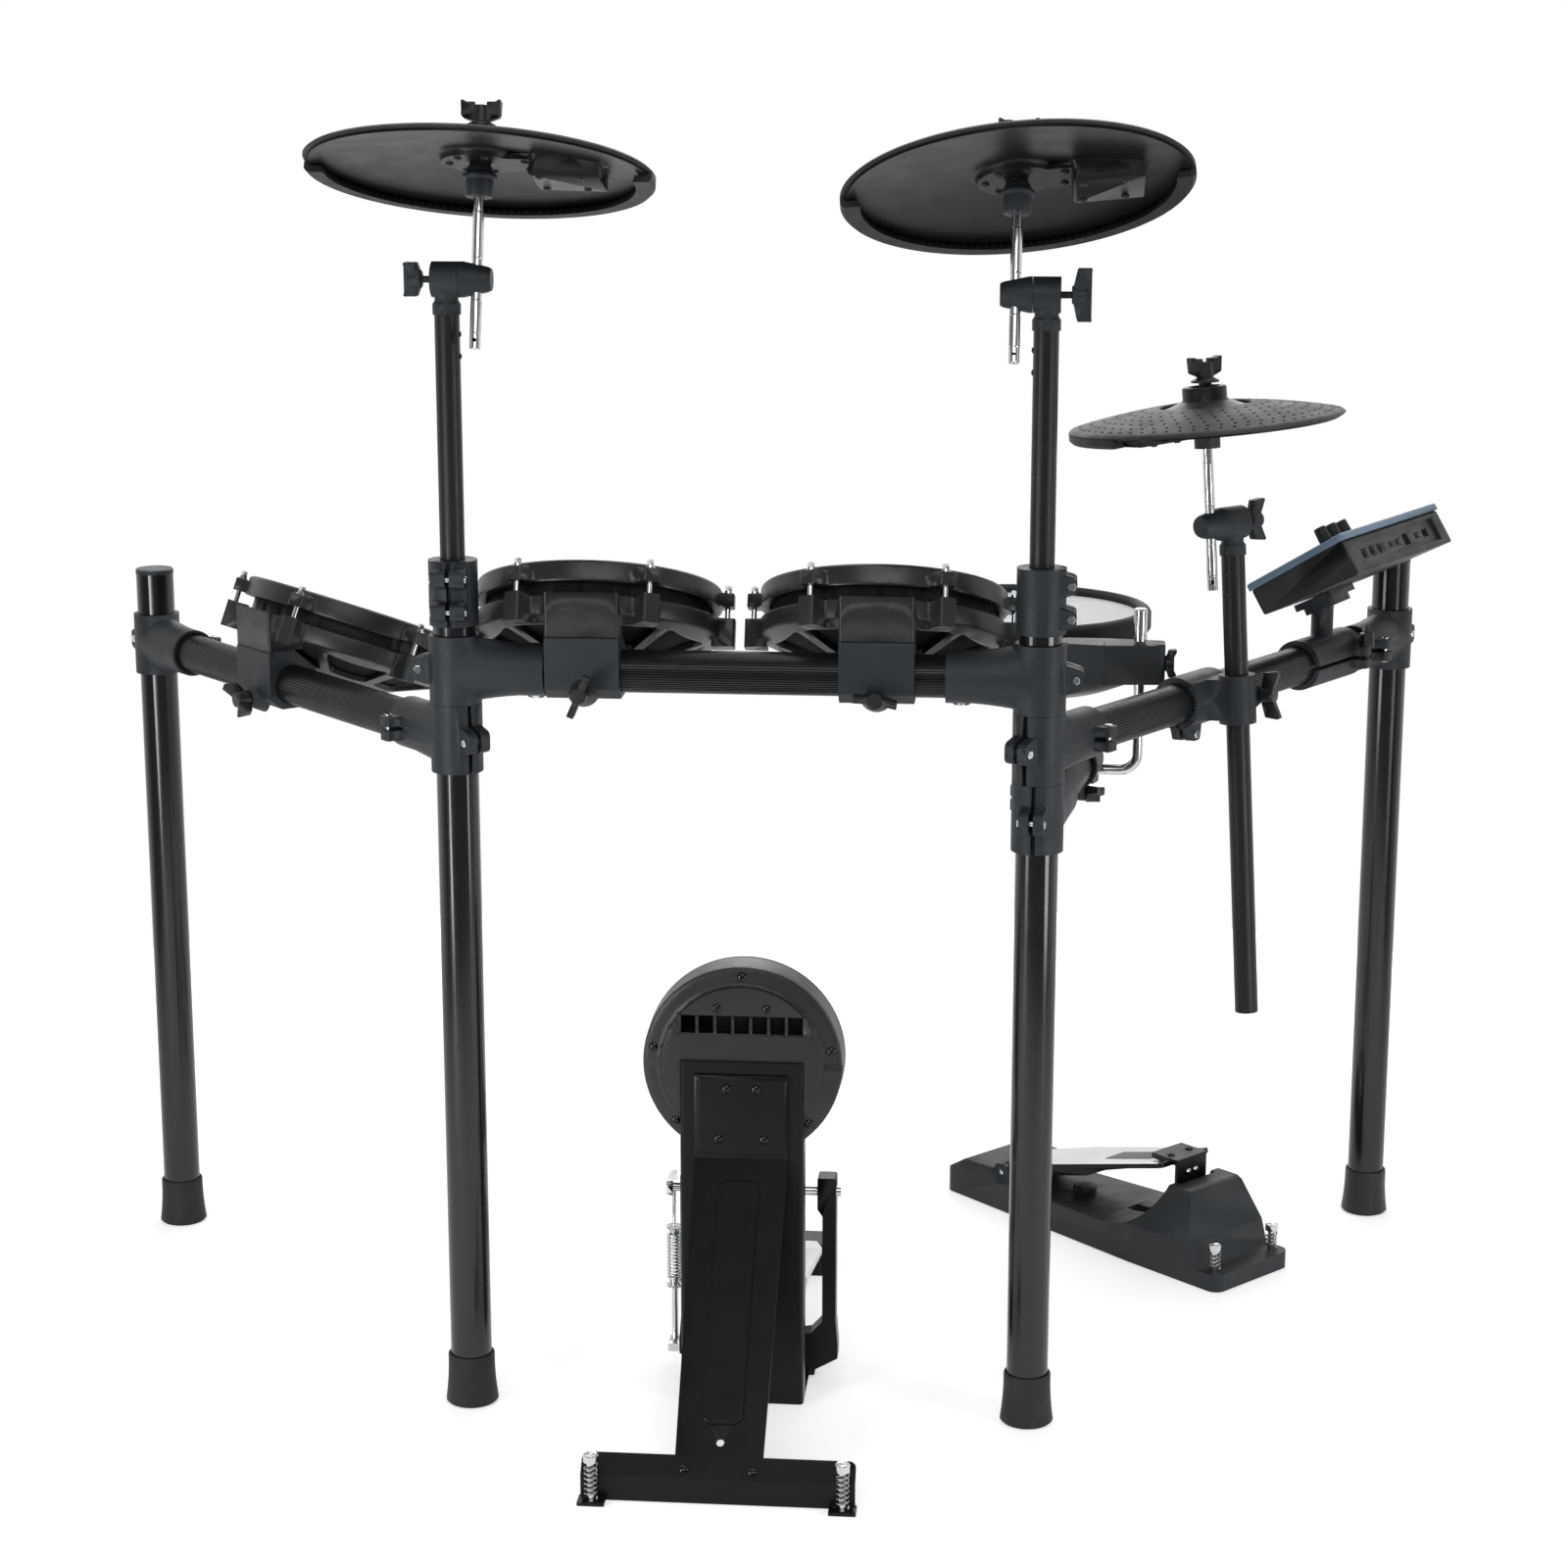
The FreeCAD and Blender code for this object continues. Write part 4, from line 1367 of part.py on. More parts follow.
def kit():
    """Every node's name with its solids."""
    nodes = {}
    ends = (LEFT_INNER, RIGHT_INNER)
    nodes["inner_posts"] = [post(p, INNER_POST_TOP) for p in ends]
    nodes["centre_bar"] = [bar_between(LEFT_INNER, X_AXIS, POST_SPACING, CENTRE_BAR_Z)]
    inner_tees = [place(tee(SEAT, V(0, 0.8, -0.6)), LEFT_INNER + V(0, 0, CENTRE_BAR_Z), Z_AXIS, X_AXIS),
                  place(tee(SEAT, V(0, -0.8, -0.6)), RIGHT_INNER + V(0, 0, CENTRE_BAR_Z), Z_AXIS, -X_AXIS)]
    collars = [collar(LEFT_INNER, -Y_AXIS), collar(RIGHT_INNER, X_AXIS)]
    nodes["centre_fittings"] = inner_tees + collars + [foot(p) for p in ends]
    wings = (("left", LEFT_INNER, LEFT_OUTER, LEFT_WAY, LEFT_WING_LENGTH, LEFT_POST_TOP, Y_AXIS, Y_AXIS),
             ("right", RIGHT_INNER, RIGHT_OUTER, RIGHT_WAY, RIGHT_WING_LENGTH, RIGHT_POST_TOP, -Y_AXIS, Y_AXIS))
    for side, inner, outer, way, length, top, ear_way, outer_ear_way in wings:
        nodes[side + "_wing_bar"] = [bar_between(inner, way, length, WING_BAR_Z)]
        nodes[side + "_outer_post"] = [post(outer, top)]
        level = V(0, 0, WING_BAR_Z)
        nodes[side + "_wing_fittings"] = [place(tee(CLEAR, ear_way), inner + level, Z_AXIS, way),
                                          place(tee(SEAT, outer_ear_way), outer + level, Z_AXIS, -way),
                                          foot(outer), end_cap(outer, top)]
    nodes["right_wing_fittings"] += cross_clamp()
    snare_post = RIGHT_INNER + V(0, 0, SNARE_BAR_Z)
    snare_bar_start = SOCKET_START + SEAT
    nodes["snare_arm_bar"] = [place(ribbed_bar(SNARE_BAR_END - snare_bar_start), snare_post + SNARE_WAY * snare_bar_start,
                                    SNARE_WAY, Z_AXIS)]
    nodes["snare_arm_fittings"] = [place(tee(CLEAR, Y_AXIS), snare_post, Z_AXIS, SNARE_WAY)] + snare_end_clamp()
    nodes["snare_l_rod"] = [l_rod()]
    drum = V(SNARE_CENTRE[0], SNARE_CENTRE[1], SNARE_RIM_TOP - 9)
    nodes["snare_shell"] = [place(snare_shell(), drum)]
    nodes["snare_rim"] = [place(snare_rim(), drum)]
    nodes["snare_head"] = [place(mesh_head(SNARE_R - 6, 6.0), drum)]
    nodes["snare_bracket"] = snare_bracket()
    left_front = heading(LEFT_WING_ANGLE + 90)
    tom_bars = [(V(x, 0, CENTRE_BAR_Z), -Y_AXIS) for x in TOM_PLACES]
    tom_bars.append((LEFT_INNER + LEFT_WAY * TOM_3_PLACE + V(0, 0, WING_BAR_Z), left_front))
    for number, (bar_point, front) in enumerate(tom_bars, 1):
        shell, hoop, head, clamp = tom_set(bar_point, front, CLAMP_WING_TURNS[number - 1])
        nodes[f"tom_{number}_shell"] = [shell]
        nodes[f"tom_{number}_hoop"] = [hoop]
        nodes[f"tom_{number}_head"] = [head]
        nodes[f"tom_{number}_clamp"] = clamp
    arm_base = COLLAR_BASE - ARM_BELOW_COLLAR
    crash_drop = CRASH_TILTER_Z - arm_base
    ride_drop = RIDE_TILTER_Z - arm_base
    hihat_drop = HIHAT_POST_ABOVE + HIHAT_POST_BELOW
    stands = (("crash", CRASH_TILTER, Z_AXIS, X_AXIS, crash_drop, 1, CRASH_TILT, CRASH_ROLL, CRASH_WING),
              ("ride", RIDE_TILTER, Z_AXIS, X_AXIS, ride_drop, -1, RIDE_TILT, RIDE_ROLL, RIDE_WING),
              ("hihat", HIHAT_TILTER, HIHAT_UP, heading(HIHAT_TURN), hihat_drop, 1, HIHAT_TILT, HIHAT_ROLL, HIHAT_WING))
    cymbals = {"crash": (CYMBAL_R, CHOKE_WAY), "ride": (CYMBAL_R, CHOKE_WAY), "hihat": (HIHAT_R, HIHAT_CHOKE_WAY)}
    for name, tilter, up, across, drop, side, tilt, roll, wing in stands:
        shell, pad = cymbal_set(tilt, side, roll, *cymbals[name])
        pieces = {"arm": arm(drop, side, wing), "rod": rod_set(tilt, side), "shell": [shell], "pad": [pad],
                  "wing_nut": [wing_nut(tilt, side)]}
        for piece, solids in pieces.items():
            nodes[f"{name}_{piece}"] = [place(solid, tilter, up, across) for solid in solids]
    nodes["module_case"] = [module_case()]
    nodes["module_panel"] = [module_panel()]
    nodes["module_mount"] = module_mount()
    for index in range(3):
        nodes[f"module_knob_{index + 1}"] = [module_knob(index)]
    nodes["kick_stand"] = [tower_channel(), leg(), foot_bar()]
    nodes["kick_pad_housing"] = [kick_housing()]
    nodes["kick_pad_face"] = [kick_face()]
    anchors = []
    for side in (-1, 1):
        lip = V(KICK_X + side * ANCHOR_PLACE, FOOT_BAR_FRONT - FOOT_BAR_TAB[1] / 2, 0)
        anchors += anchor(lip, SHEET, ANCHOR_TURNS)
        anchors += anchor(hh_point(HH_ANCHOR[0], side * HH_ANCHOR[1], 0), HH_LEDGE, HH_ANCHOR_TURNS)
    nodes["floor_anchors"] = anchors
    nodes["pedal_frame"] = pedal_frame()
    nodes["pedal_footboard"] = [pedal_board()]
    nodes["pedal_link"] = [drive_link()]
    nodes["pedal_beater"] = beater()
    nodes["pedal_spring"] = return_spring()
    nodes["hihat_pedal_base"] = [hh_base()]
    nodes["hihat_footboard"] = [hh_board()]
    return nodes


def main():
    os.makedirs("parts", exist_ok=True)
    for name, solids in kit().items():
        shape = Part.makeCompound(solids) if len(solids) > 1 else solids[0]
        shape.translate(KIT_CENTRE * -1)
        shape.exportStep(f"parts/{name}.step")


if __name__ == "__main__":
    main()
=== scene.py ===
import json
import math
import bmesh
import bpy
import numpy as np
from mathutils import Matrix, Vector
from mathutils.bvhtree import BVHTree


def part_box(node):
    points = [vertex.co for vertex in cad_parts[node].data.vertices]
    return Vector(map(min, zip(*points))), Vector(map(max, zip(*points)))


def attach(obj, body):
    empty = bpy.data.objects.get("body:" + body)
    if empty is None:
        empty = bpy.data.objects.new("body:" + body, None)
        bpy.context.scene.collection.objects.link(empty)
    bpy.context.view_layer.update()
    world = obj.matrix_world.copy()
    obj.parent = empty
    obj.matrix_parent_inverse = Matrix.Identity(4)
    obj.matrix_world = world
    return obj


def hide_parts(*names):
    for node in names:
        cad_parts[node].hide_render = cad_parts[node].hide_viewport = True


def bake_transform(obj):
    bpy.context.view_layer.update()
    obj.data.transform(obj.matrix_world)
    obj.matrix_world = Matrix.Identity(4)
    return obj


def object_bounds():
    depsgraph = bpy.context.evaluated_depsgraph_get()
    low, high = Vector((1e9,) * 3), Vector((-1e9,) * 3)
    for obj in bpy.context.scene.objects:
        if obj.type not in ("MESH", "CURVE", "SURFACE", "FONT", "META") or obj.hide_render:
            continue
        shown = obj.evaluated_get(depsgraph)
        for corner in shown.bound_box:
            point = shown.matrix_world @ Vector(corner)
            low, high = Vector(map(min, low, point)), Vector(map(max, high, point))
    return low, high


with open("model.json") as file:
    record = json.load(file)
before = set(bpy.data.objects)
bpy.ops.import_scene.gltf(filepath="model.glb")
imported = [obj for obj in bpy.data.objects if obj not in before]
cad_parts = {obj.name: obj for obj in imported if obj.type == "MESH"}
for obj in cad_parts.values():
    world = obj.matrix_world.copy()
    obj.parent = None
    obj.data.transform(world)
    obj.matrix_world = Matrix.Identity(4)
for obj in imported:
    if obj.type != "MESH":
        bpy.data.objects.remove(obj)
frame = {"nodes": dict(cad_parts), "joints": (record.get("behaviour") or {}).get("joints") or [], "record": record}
cad_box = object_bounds()

# Electronic drum kit, in metres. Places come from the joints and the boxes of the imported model, with
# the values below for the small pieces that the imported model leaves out.

MM = 0.001
X_AXIS = Vector((1, 0, 0))
Y_AXIS = Vector((0, 1, 0))
Z_AXIS = Vector((0, 0, 1))
JOINT = {j["name"]: j for j in frame["joints"]}
NODE_SLOT = {p["node"]: p["material_slot"] for p in frame["record"]["subparts"]}
NODE_BODY = {n: b for b, ns in frame["record"]["behaviour"]["bodies"].items() for n in ns}

# Camera
CAMERA_PLACE = (0.2914, -2.9062, 1.2164)
CAMERA_TURN = (77.09, 0.0, 5.14)
CAMERA_LENS = 71.64

# Clamp screws
SLEEVE_SCREW_OUT = 31.5 * MM
SOCKET_SCREW_ALONG = 69.0 * MM
SOCKET_SCREW_OUT = 29.6 * MM
EAR_GRIP = 11.0 * MM
COLLAR_TOP = 795.0 * MM
COLLAR_BASE = 737.0 * MM
COLLAR_SCREW_OUT = 26.0 * MM
COLLAR_SCREW_PITCH = 29.0 * MM
COLLAR_GRIP = 15.0 * MM
CROSS_SCREW_ALONG = 28.5 * MM
CROSS_SCREW_OUT = 31.0 * MM

# Cymbal rods
ROD_R = 4.75 * MM
ROD_TAIL = 60.0 * MM
KNURL_START = 17.0 * MM
KNURL_TOP = 60.0 * MM
KNURL_RISE = 0.3 * MM
KNURL_PITCH = 1.3 * MM
KNURL_POINTS = 26
KNURL_END_GAP = 12.0 * MM
ROD_SLOT_UP = 8.0 * MM
ROD_SLOT_R = 1.7
ROD_SLOT_HALF = 5.35
ARM_R = 11.0 * MM
RIVET_DROPS = (47.0 * MM, 66.0 * MM)

# Screws under the cymbals, in millimetres from the seat: along the jack box and to each side
SEAT_SCREW_RING = 27.0 * MM
SEAT_SCREW_TURNS = (72, 126, 180, 234, 288)
BOX_SCREWS = {
    "crash": ((41.0, 14.0), (56.0, 21.0), (92.0, 21.0)),
    "ride": ((41.0, 14.0), (56.0, 21.0), (92.0, 21.0)),
    "hihat": ((41.0, 14.0), (56.0, 21.0), (84.0, 21.0)),
}

# Holes in the hi-hat's pad: (radius in millimetres, number) of each ring
PAD_HOLE_RINGS = ((58, 30), (70, 36), (82, 42), (94, 48), (106, 54), (116, 60))

# Clear of a surface, to look for it from outside
CYMBAL_BELOW = 60.0 * MM
CYMBAL_ABOVE = 90.0 * MM
FRONT_CLEAR = 0.1

# Ribbed bars
GROOVE_TOP = 18.9 * MM
GROOVE_FLOOR = 17.6 * MM

# Wings of the cymbals' nuts and tilt bolts: span, height and thickness in millimetres
NUT_WING = (36.0, 21.0, 9.0)
TILT_WING = {"crash": (30.0, 17.0, 12.0), "ride": (46.0, 18.0, 9.0)}
WING_SKIN = 0.2
BLADE_FOOT = 0.35
BLADE_TOP_GAP = 1.4
BLADE_END_GAP = 0.5
GRIP_FOOT = 0.3
GRIP_TOP_GAP = 0.3
GRIP_END_GAP = 0.4

# Drums
TENSION_R = 2.4 * MM
TOM_LUG_CIRCLE = 117.5 * MM
TOM_EAR_TOP = 0.0
TOM_EAR_BASE = -12.0 * MM
TOM_LUG_TOP = -23.0 * MM
HEAD_THICK = 1.2 * MM
FOAM_OUTLINE = [(0, -38), (93, -38), (93, -40.5), (41, -61.5), (0, -61.5)]
SCREW_SINK = 0.6
LUG_COUNT = 6
SNARE_LUG_CIRCLE = 133.0 * MM
SNARE_EAR_BASE = -17.0 * MM
SNARE_LUG_TOP = -30.0 * MM
L_ROD_CAP_R = 6.5 * MM
L_ROD_CAP_LENGTH = 30.0 * MM
L_ROD_CAP_EDGE = 1.0 * MM

# Screws on the kick tower, in millimetres: on the housing's ring, above its slots, on the leg and the foot bar
HOUSING_SCREW_RING = 83.0 * MM
HOUSING_SCREW_TURNS = (0, 80, -80, 132, -132)
SLOT_SCREW_SIDE = 23.0
SLOT_SCREW_UP = 54.0
LEG_TOP_DROP = 12.0 * MM
LEG_SCREWS = ((13.5, 12.0), (21.0, 60.0))
FOOT_BAR_SCREW = (30.0, 29.0)

# Hi-hat pedal, in millimetres from its toe: along, to each side and up
HH_PIN_ALONG = 322.0
BRACKET_SCREW = (-40.0, 5.5, 96.0)
PLATE_SCREW = (104.0, 14.0, 200.0)
BOARD_PLATE = (163.0, 0.0, 200.0)
BOARD_PLATE_SIZE = (66.0, 30.0, 1.0)
PIN_SCREW = (HH_PIN_ALONG, 100.0, 40.0)
TOE_BRACKET_END = 120.0 * MM

# Depths below the top of the module's keys, and behind its rear wall
KEY_DEPTH = 1.1 * MM
WINDOW_DEPTHS = (1.9 * MM, 3.2 * MM)
RECESS_DEPTHS = (1.5 * MM, 6.0 * MM, 19.0 * MM)

# Edge of an outer post's cap
CAP_EDGE = 1.2 * MM

# Kick pedal spring
SPRING_HOOK = 46.0 * MM


def pivot(name):
    """Place of a joint."""
    return Vector(JOINT[name]["pos_m"])


def axis(name):
    """Direction of a joint."""
    return Vector(JOINT[name]["axis"]).normalized()


def stand(origin, z_way=Z_AXIS, x_way=None):
    """Matrix that puts a shape's own Z and X along two directions at a point."""
    z = Vector(z_way).normalized()
    spare = X_AXIS if abs(z.x) < 0.9 else Y_AXIS
    y = z.cross(Vector(x_way) if x_way is not None else spare).normalized()
    turn = Matrix((y.cross(z), y, z)).transposed().to_4x4()
    turn.translation = Vector(origin)
    return turn


def points_of(node):
    """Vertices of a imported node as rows."""
    mesh = frame["nodes"][node].data
    rows = np.empty(len(mesh.vertices) * 3)
    mesh.vertices.foreach_get("co", rows)
    return rows.reshape(-1, 3)


def main_axes(node):
    """Directions of a node's spread, the longest first."""
    rows = points_of(node)
    return [Vector(v) for v in np.linalg.svd(rows - rows.mean(0), full_matrices=False)[2]]


def box_centre(node):
    """Middle of a node's box."""
    low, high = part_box(node)
    return (low + high) / 2


# Finishes

def shader(name):
    """New material with its node tree, its principled shader and Object coordinates."""
    material = bpy.data.materials.new(name)
    material.use_nodes = True
    tree = material.node_tree
    coordinates = tree.nodes.new("ShaderNodeTexCoord").outputs["Object"]
    return material, tree, tree.nodes["Principled BSDF"], coordinates


def noise(tree, coordinates, scale, detail=3.0, stretch=None):
    """Noise pattern, stretched along the axes where that is given."""
    if stretch is not None:
        mapping = tree.nodes.new("ShaderNodeMapping")
        mapping.inputs["Scale"].default_value = stretch
        tree.links.new(coordinates, mapping.inputs["Vector"])
        coordinates = mapping.outputs["Vector"]
    pattern = tree.nodes.new("ShaderNodeTexNoise")
    pattern.inputs["Scale"].default_value = scale
    pattern.inputs["Detail"].default_value = detail
    tree.links.new(coordinates, pattern.inputs["Vector"])
    return pattern.outputs["Fac"]


def spread(tree, value, low, high):
    """Pattern from 0.3 to 0.7 stretched to a range."""
    node = tree.nodes.new("ShaderNodeMapRange")
    node.inputs["From Min"].default_value = 0.3
    node.inputs["From Max"].default_value = 0.7
    node.inputs["To Min"].default_value = low
    node.inputs["To Max"].default_value = high
    tree.links.new(value, node.inputs["Value"])
    return node.outputs["Result"]


def blend_colours(tree, share, dark, light):
    """Colour between two by a pattern."""
    node = tree.nodes.new("ShaderNodeMix")
    node.data_type = "RGBA"
    node.inputs["A"].default_value = (*dark, 1)
    node.inputs["B"].default_value = (*light, 1)
    tree.links.new(share, node.inputs["Factor"])
    return node.outputs["Result"]


def raise_grain(tree, bsdf, height, strength, depth):
    """Fine relief on the surface."""
    bump = tree.nodes.new("ShaderNodeBump")
    bump.inputs["Strength"].default_value = strength
    bump.inputs["Distance"].default_value = depth
    tree.links.new(height, bump.inputs["Height"])
    tree.links.new(bump.outputs["Normal"], bsdf.inputs["Normal"])


def finish(name, colour, rough, metal=0.0, gloss=0.5, coat=0.0, grain=(900.0, 0.12), cloud=0.16, stretch=None):
    """Worn-in plain finish: clouded colour and gloss over a fine grain."""
    material, tree, bsdf, coordinates = shader(name)
    bsdf.inputs["Metallic"].default_value = metal
    bsdf.inputs["Specular IOR Level"].default_value = gloss
    bsdf.inputs["Coat Weight"].default_value = coat
    bsdf.inputs["Coat Roughness"].default_value = 0.12
    clouds = noise(tree, coordinates, 14.0, 4.0)
    share = spread(tree, clouds, 0.0, 1.0)
    dark = tuple(c * (1 - cloud) for c in colour)
    light = tuple(min(1.0, c * (1 + cloud)) for c in colour)
    tree.links.new(blend_colours(tree, share, dark, light), bsdf.inputs["Base Color"])
    smears = noise(tree, coordinates, 38.0, 5.0)
    tree.links.new(spread(tree, smears, rough * 0.88, rough * 1.12), bsdf.inputs["Roughness"])
    scale, strength = grain
    raise_grain(tree, bsdf, noise(tree, coordinates, scale, 2.0, stretch), strength, 0.3 * MM)
    return material


def woven(name, colour, thread):
    """Taut mesh of round threads, in squares of one thread's pitch."""
    material, tree, bsdf, coordinates = shader(name)
    bsdf.inputs["Roughness"].default_value = 0.62
    weaves = []
    for direction in ("X", "Y"):
        wave = tree.nodes.new("ShaderNodeTexWave")
        wave.bands_direction = direction
        wave.inputs["Scale"].default_value = 0.314 / thread
        tree.links.new(coordinates, wave.inputs["Vector"])
        weaves.append(wave.outputs["Fac"])
    height = tree.nodes.new("ShaderNodeMath")
    height.operation = "MAXIMUM"
    tree.links.new(weaves[0], height.inputs[0])
    tree.links.new(weaves[1], height.inputs[1])
    dark = tuple(c * 0.72 for c in colour)
    tree.links.new(blend_colours(tree, height.outputs["Value"], dark, colour), bsdf.inputs["Base Color"])
    raise_grain(tree, bsdf, height.outputs["Value"], 0.5, 0.3 * MM)
    return material


TUBE = finish("black_tube_gloss", (0.0060, 0.0066, 0.0078), 0.17, gloss=0.5, grain=(260.0, 0.002))
ARM = finish("black_arm_satin", (0.0085, 0.0090, 0.0100), 0.40, gloss=0.32, grain=(900.0, 0.05))
RIBBED = finish("ribbed_bar_satin", (0.0080, 0.0084, 0.0092), 0.34, gloss=0.4, grain=(900.0, 0.04))
MOULDED = finish("moulded_clamp_matt", (0.0165, 0.0200, 0.0235), 0.52, gloss=0.35, grain=(1100.0, 0.2))
RUBBER = finish("foot_rubber", (0.0160, 0.0180, 0.0200), 0.62, gloss=0.3, grain=(700.0, 0.2))
CHROME = finish("bright_chrome", (0.62, 0.63, 0.64), 0.14, metal=1.0, grain=(300.0, 0.01), cloud=0.06)
SPRING = finish("spring_steel", (0.30, 0.305, 0.31), 0.26, metal=1.0, grain=(300.0, 0.01), cloud=0.1)
ZINC = finish("dark_screw_metal", (0.036, 0.038, 0.041), 0.16, metal=1.0, grain=(300.0, 0.01), cloud=0.1)
CYMBAL_UNDER = finish("cymbal_plastic_satin", (0.0058, 0.0062, 0.0070), 0.38, gloss=0.27, grain=(1500.0, 0.06))
CYMBAL_TOP = finish("cymbal_rubber_matt", (0.0120, 0.0125, 0.0135), 0.58, gloss=0.35, grain=(1400.0, 0.25))
KNOB = finish("knob_plastic", (0.0100, 0.0108, 0.0120), 0.42, gloss=0.4, grain=(1300.0, 0.12))
DRUM = finish("drum_shell_plastic", (0.0150, 0.0156, 0.0170), 0.40, gloss=0.42, grain=(1200.0, 0.1))
HOOP = finish("hoop_satin", (0.0120, 0.0124, 0.0132), 0.36, gloss=0.5, grain=(900.0, 0.04))
CASE = finish("module_case_matt", (0.0095, 0.0100, 0.0110), 0.5, gloss=0.35, grain=(1500.0, 0.2))
PANEL = finish("module_panel_slate", (0.140, 0.200, 0.275), 0.45, gloss=0.35, grain=(1500.0, 0.1), cloud=0.06)
STEEL = finish("powder_coated_steel", (0.0038, 0.0044, 0.0051), 0.34, gloss=0.2, grain=(900.0, 0.08))
STRIKE = finish("striking_pad", (0.0120, 0.0122, 0.0130), 0.66, gloss=0.3, grain=(1000.0, 0.3))
SILVER = finish("satin_board", (0.56, 0.57, 0.58), 0.32, metal=0.9, grain=(700.0, 0.1), cloud=0.08)
FELT = finish("beater_felt", (0.30, 0.29, 0.28), 0.95, gloss=0.1, grain=(1600.0, 0.8), cloud=0.3)
# Painted shade: near-black finish with no gloss, put where holes, slots and deep recesses are, for the shade
# inside them.
SHADE_IN_HOLES = finish("painted_hole_shade", (0.0030, 0.0030, 0.0034), 0.8, gloss=0.0)
FOAM = finish("sensor_foam", (0.0180, 0.0190, 0.0205), 0.9, gloss=0.15, grain=(500.0, 0.5))
# Painted light: lighter grey for the upward faces of the outer posts' caps, for the light that falls on them from
# above.
CAP_TOP_LIGHT = finish("cap_top_painted_light", (0.0750, 0.0790, 0.0840), 0.5, gloss=0.35, grain=(1100.0, 0.15))
# Painted shade: near-black colour for the grooves between a bar's ribs, standing in for the shade in them.
GROOVE_SHADE = finish("bar_groove_painted_shade", (0.0040, 0.0042, 0.0047), 0.6, gloss=0.15)
RECESS = finish("module_recess", (0.0300, 0.0315, 0.0335), 0.5, gloss=0.35, grain=(1500.0, 0.15))
GLASS = finish("display_glass", (0.0040, 0.0050, 0.0060), 0.08, gloss=0.5, grain=(300.0, 0.0))
KEY = finish("key_rubber", (0.0450, 0.0480, 0.0520), 0.6, gloss=0.3, grain=(1400.0, 0.15))
MESH = woven("drum_mesh", (0.82, 0.83, 0.84), 0.7 * MM)

SLOT_FINISH = {
    "black_tube": TUBE, "ribbed_bar": RIBBED, "fitting_plastic": MOULDED, "chrome": CHROME,
    "cymbal_plastic": CYMBAL_UNDER, "cymbal_rubber": CYMBAL_TOP, "knob_plastic": KNOB,
    "drum_plastic": DRUM, "hoop_black": HOOP, "mesh_head": MESH, "module_case": CASE,
    "module_panel": PANEL, "black_steel": STEEL, "strike_pad": STRIKE, "silver_board": SILVER,
}
NODE_FINISH = {"snare_rim": RUBBER, "crash_arm": ARM, "ride_arm": ARM, "hihat_arm": ARM}
SHARP = math.radians(32)
RIB_SHARP = math.radians(8)


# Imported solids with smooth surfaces

def islands(mesh):
    """Number of the joined-up shell that each polygon belongs to, with each shell's box."""
    ends = np.empty(len(mesh.edges) * 2, dtype=int)
    mesh.edges.foreach_get("vertices", ends)
    ends = ends.reshape(-1, 2)
    label = np.arange(len(mesh.vertices))
    while True:
        low = np.minimum(label[ends[:, 0]], label[ends[:, 1]])
        new = label.copy()
        np.minimum.at(new, ends[:, 0], low)
        np.minimum.at(new, ends[:, 1], low)
        new = new[new]
        if (new == label).all():
            break
        label = new
    rows = np.array([v.co for v in mesh.vertices])
    shells = {k: (Vector(rows[label == k].min(0)), Vector(rows[label == k].max(0))) for k in np.unique(label)}
    return [label[p.vertices[0]] for p in mesh.polygons], shells


def paint_groove_shade(node, mesh):
    """Painted shade: dark finish for the grooves between a bar's ribs, standing in for the shade that falls
    between them.
    """
    mesh.materials.append(GROOVE_SHADE)
    way = main_axes(node)[0]
    centre = Vector(points_of(node).mean(0))
    for polygon in mesh.polygons:
        arm = polygon.center - centre
        reach = (arm - way * arm.dot(way)).length
        if GROOVE_FLOOR < reach < GROOVE_TOP:
            polygon.material_index = 1


def dressed(node, others=()):
    """Smooth stand-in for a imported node; others are (test on a shell's box, finish) for its odd shells."""
    mesh = frame["nodes"][node].data.copy()
    bm = bmesh.new()
    bm.from_mesh(mesh)
    bmesh.ops.remove_doubles(bm, verts=bm.verts, dist=1e-6)
    bm.to_mesh(mesh)
    bm.free()
    mesh.materials.clear()
    mesh.materials.append(NODE_FINISH.get(node, SLOT_FINISH[NODE_SLOT[node]]))
    for polygon in mesh.polygons:
        polygon.material_index = 0
    if others:
        owner, shells = islands(mesh)
        for number, (test, material) in enumerate(others, 1):
            mesh.materials.append(material)
            chosen = {k for k, (low, high) in shells.items() if test(low, high)}
            for polygon, shell in zip(mesh.polygons, owner):
                if shell in chosen:
                    polygon.material_index = number
    for polygon in mesh.polygons:
        polygon.use_smooth = True
    # Ribbed bars get painted shade in the grooves between their ribs.
    if NODE_SLOT[node] == "ribbed_bar":
        paint_groove_shade(node, mesh)
    mesh.set_sharp_from_angle(angle=RIB_SHARP if NODE_SLOT[node] == "ribbed_bar" else SHARP)
    piece = bpy.data.objects.new(node + "_look", mesh)
    bpy.context.scene.collection.objects.link(piece)
    flat = piece.modifiers.new("flat_faces_first", "WEIGHTED_NORMAL")
    flat.keep_sharp = True
    if node not in BLENDED:
        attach(piece, NODE_BODY[node])
    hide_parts(node)
    return piece


def on_floor(low, high):
    """Rubber foot."""
    return low.z < 0.01


def is_short(low, high):
    """Moulded piece on a tube or rod."""
    return max(high - low) < 0.1


def is_wing(low, high):
    """Wing bolt."""
    return max(high - low) < 0.055


def is_spring(low, high):
    """Coil round an anchor screw."""
    return high.z - low.z < 0.042


def is_beater_head(low, high):
    """Felt head on the beater rod."""
    return high.z > 0.3 and high.z - low.z < 0.06


def is_radius_rod(low, high):
    """Thin rod along the kick pedal's base."""
    return high.x - low.x < 0.01


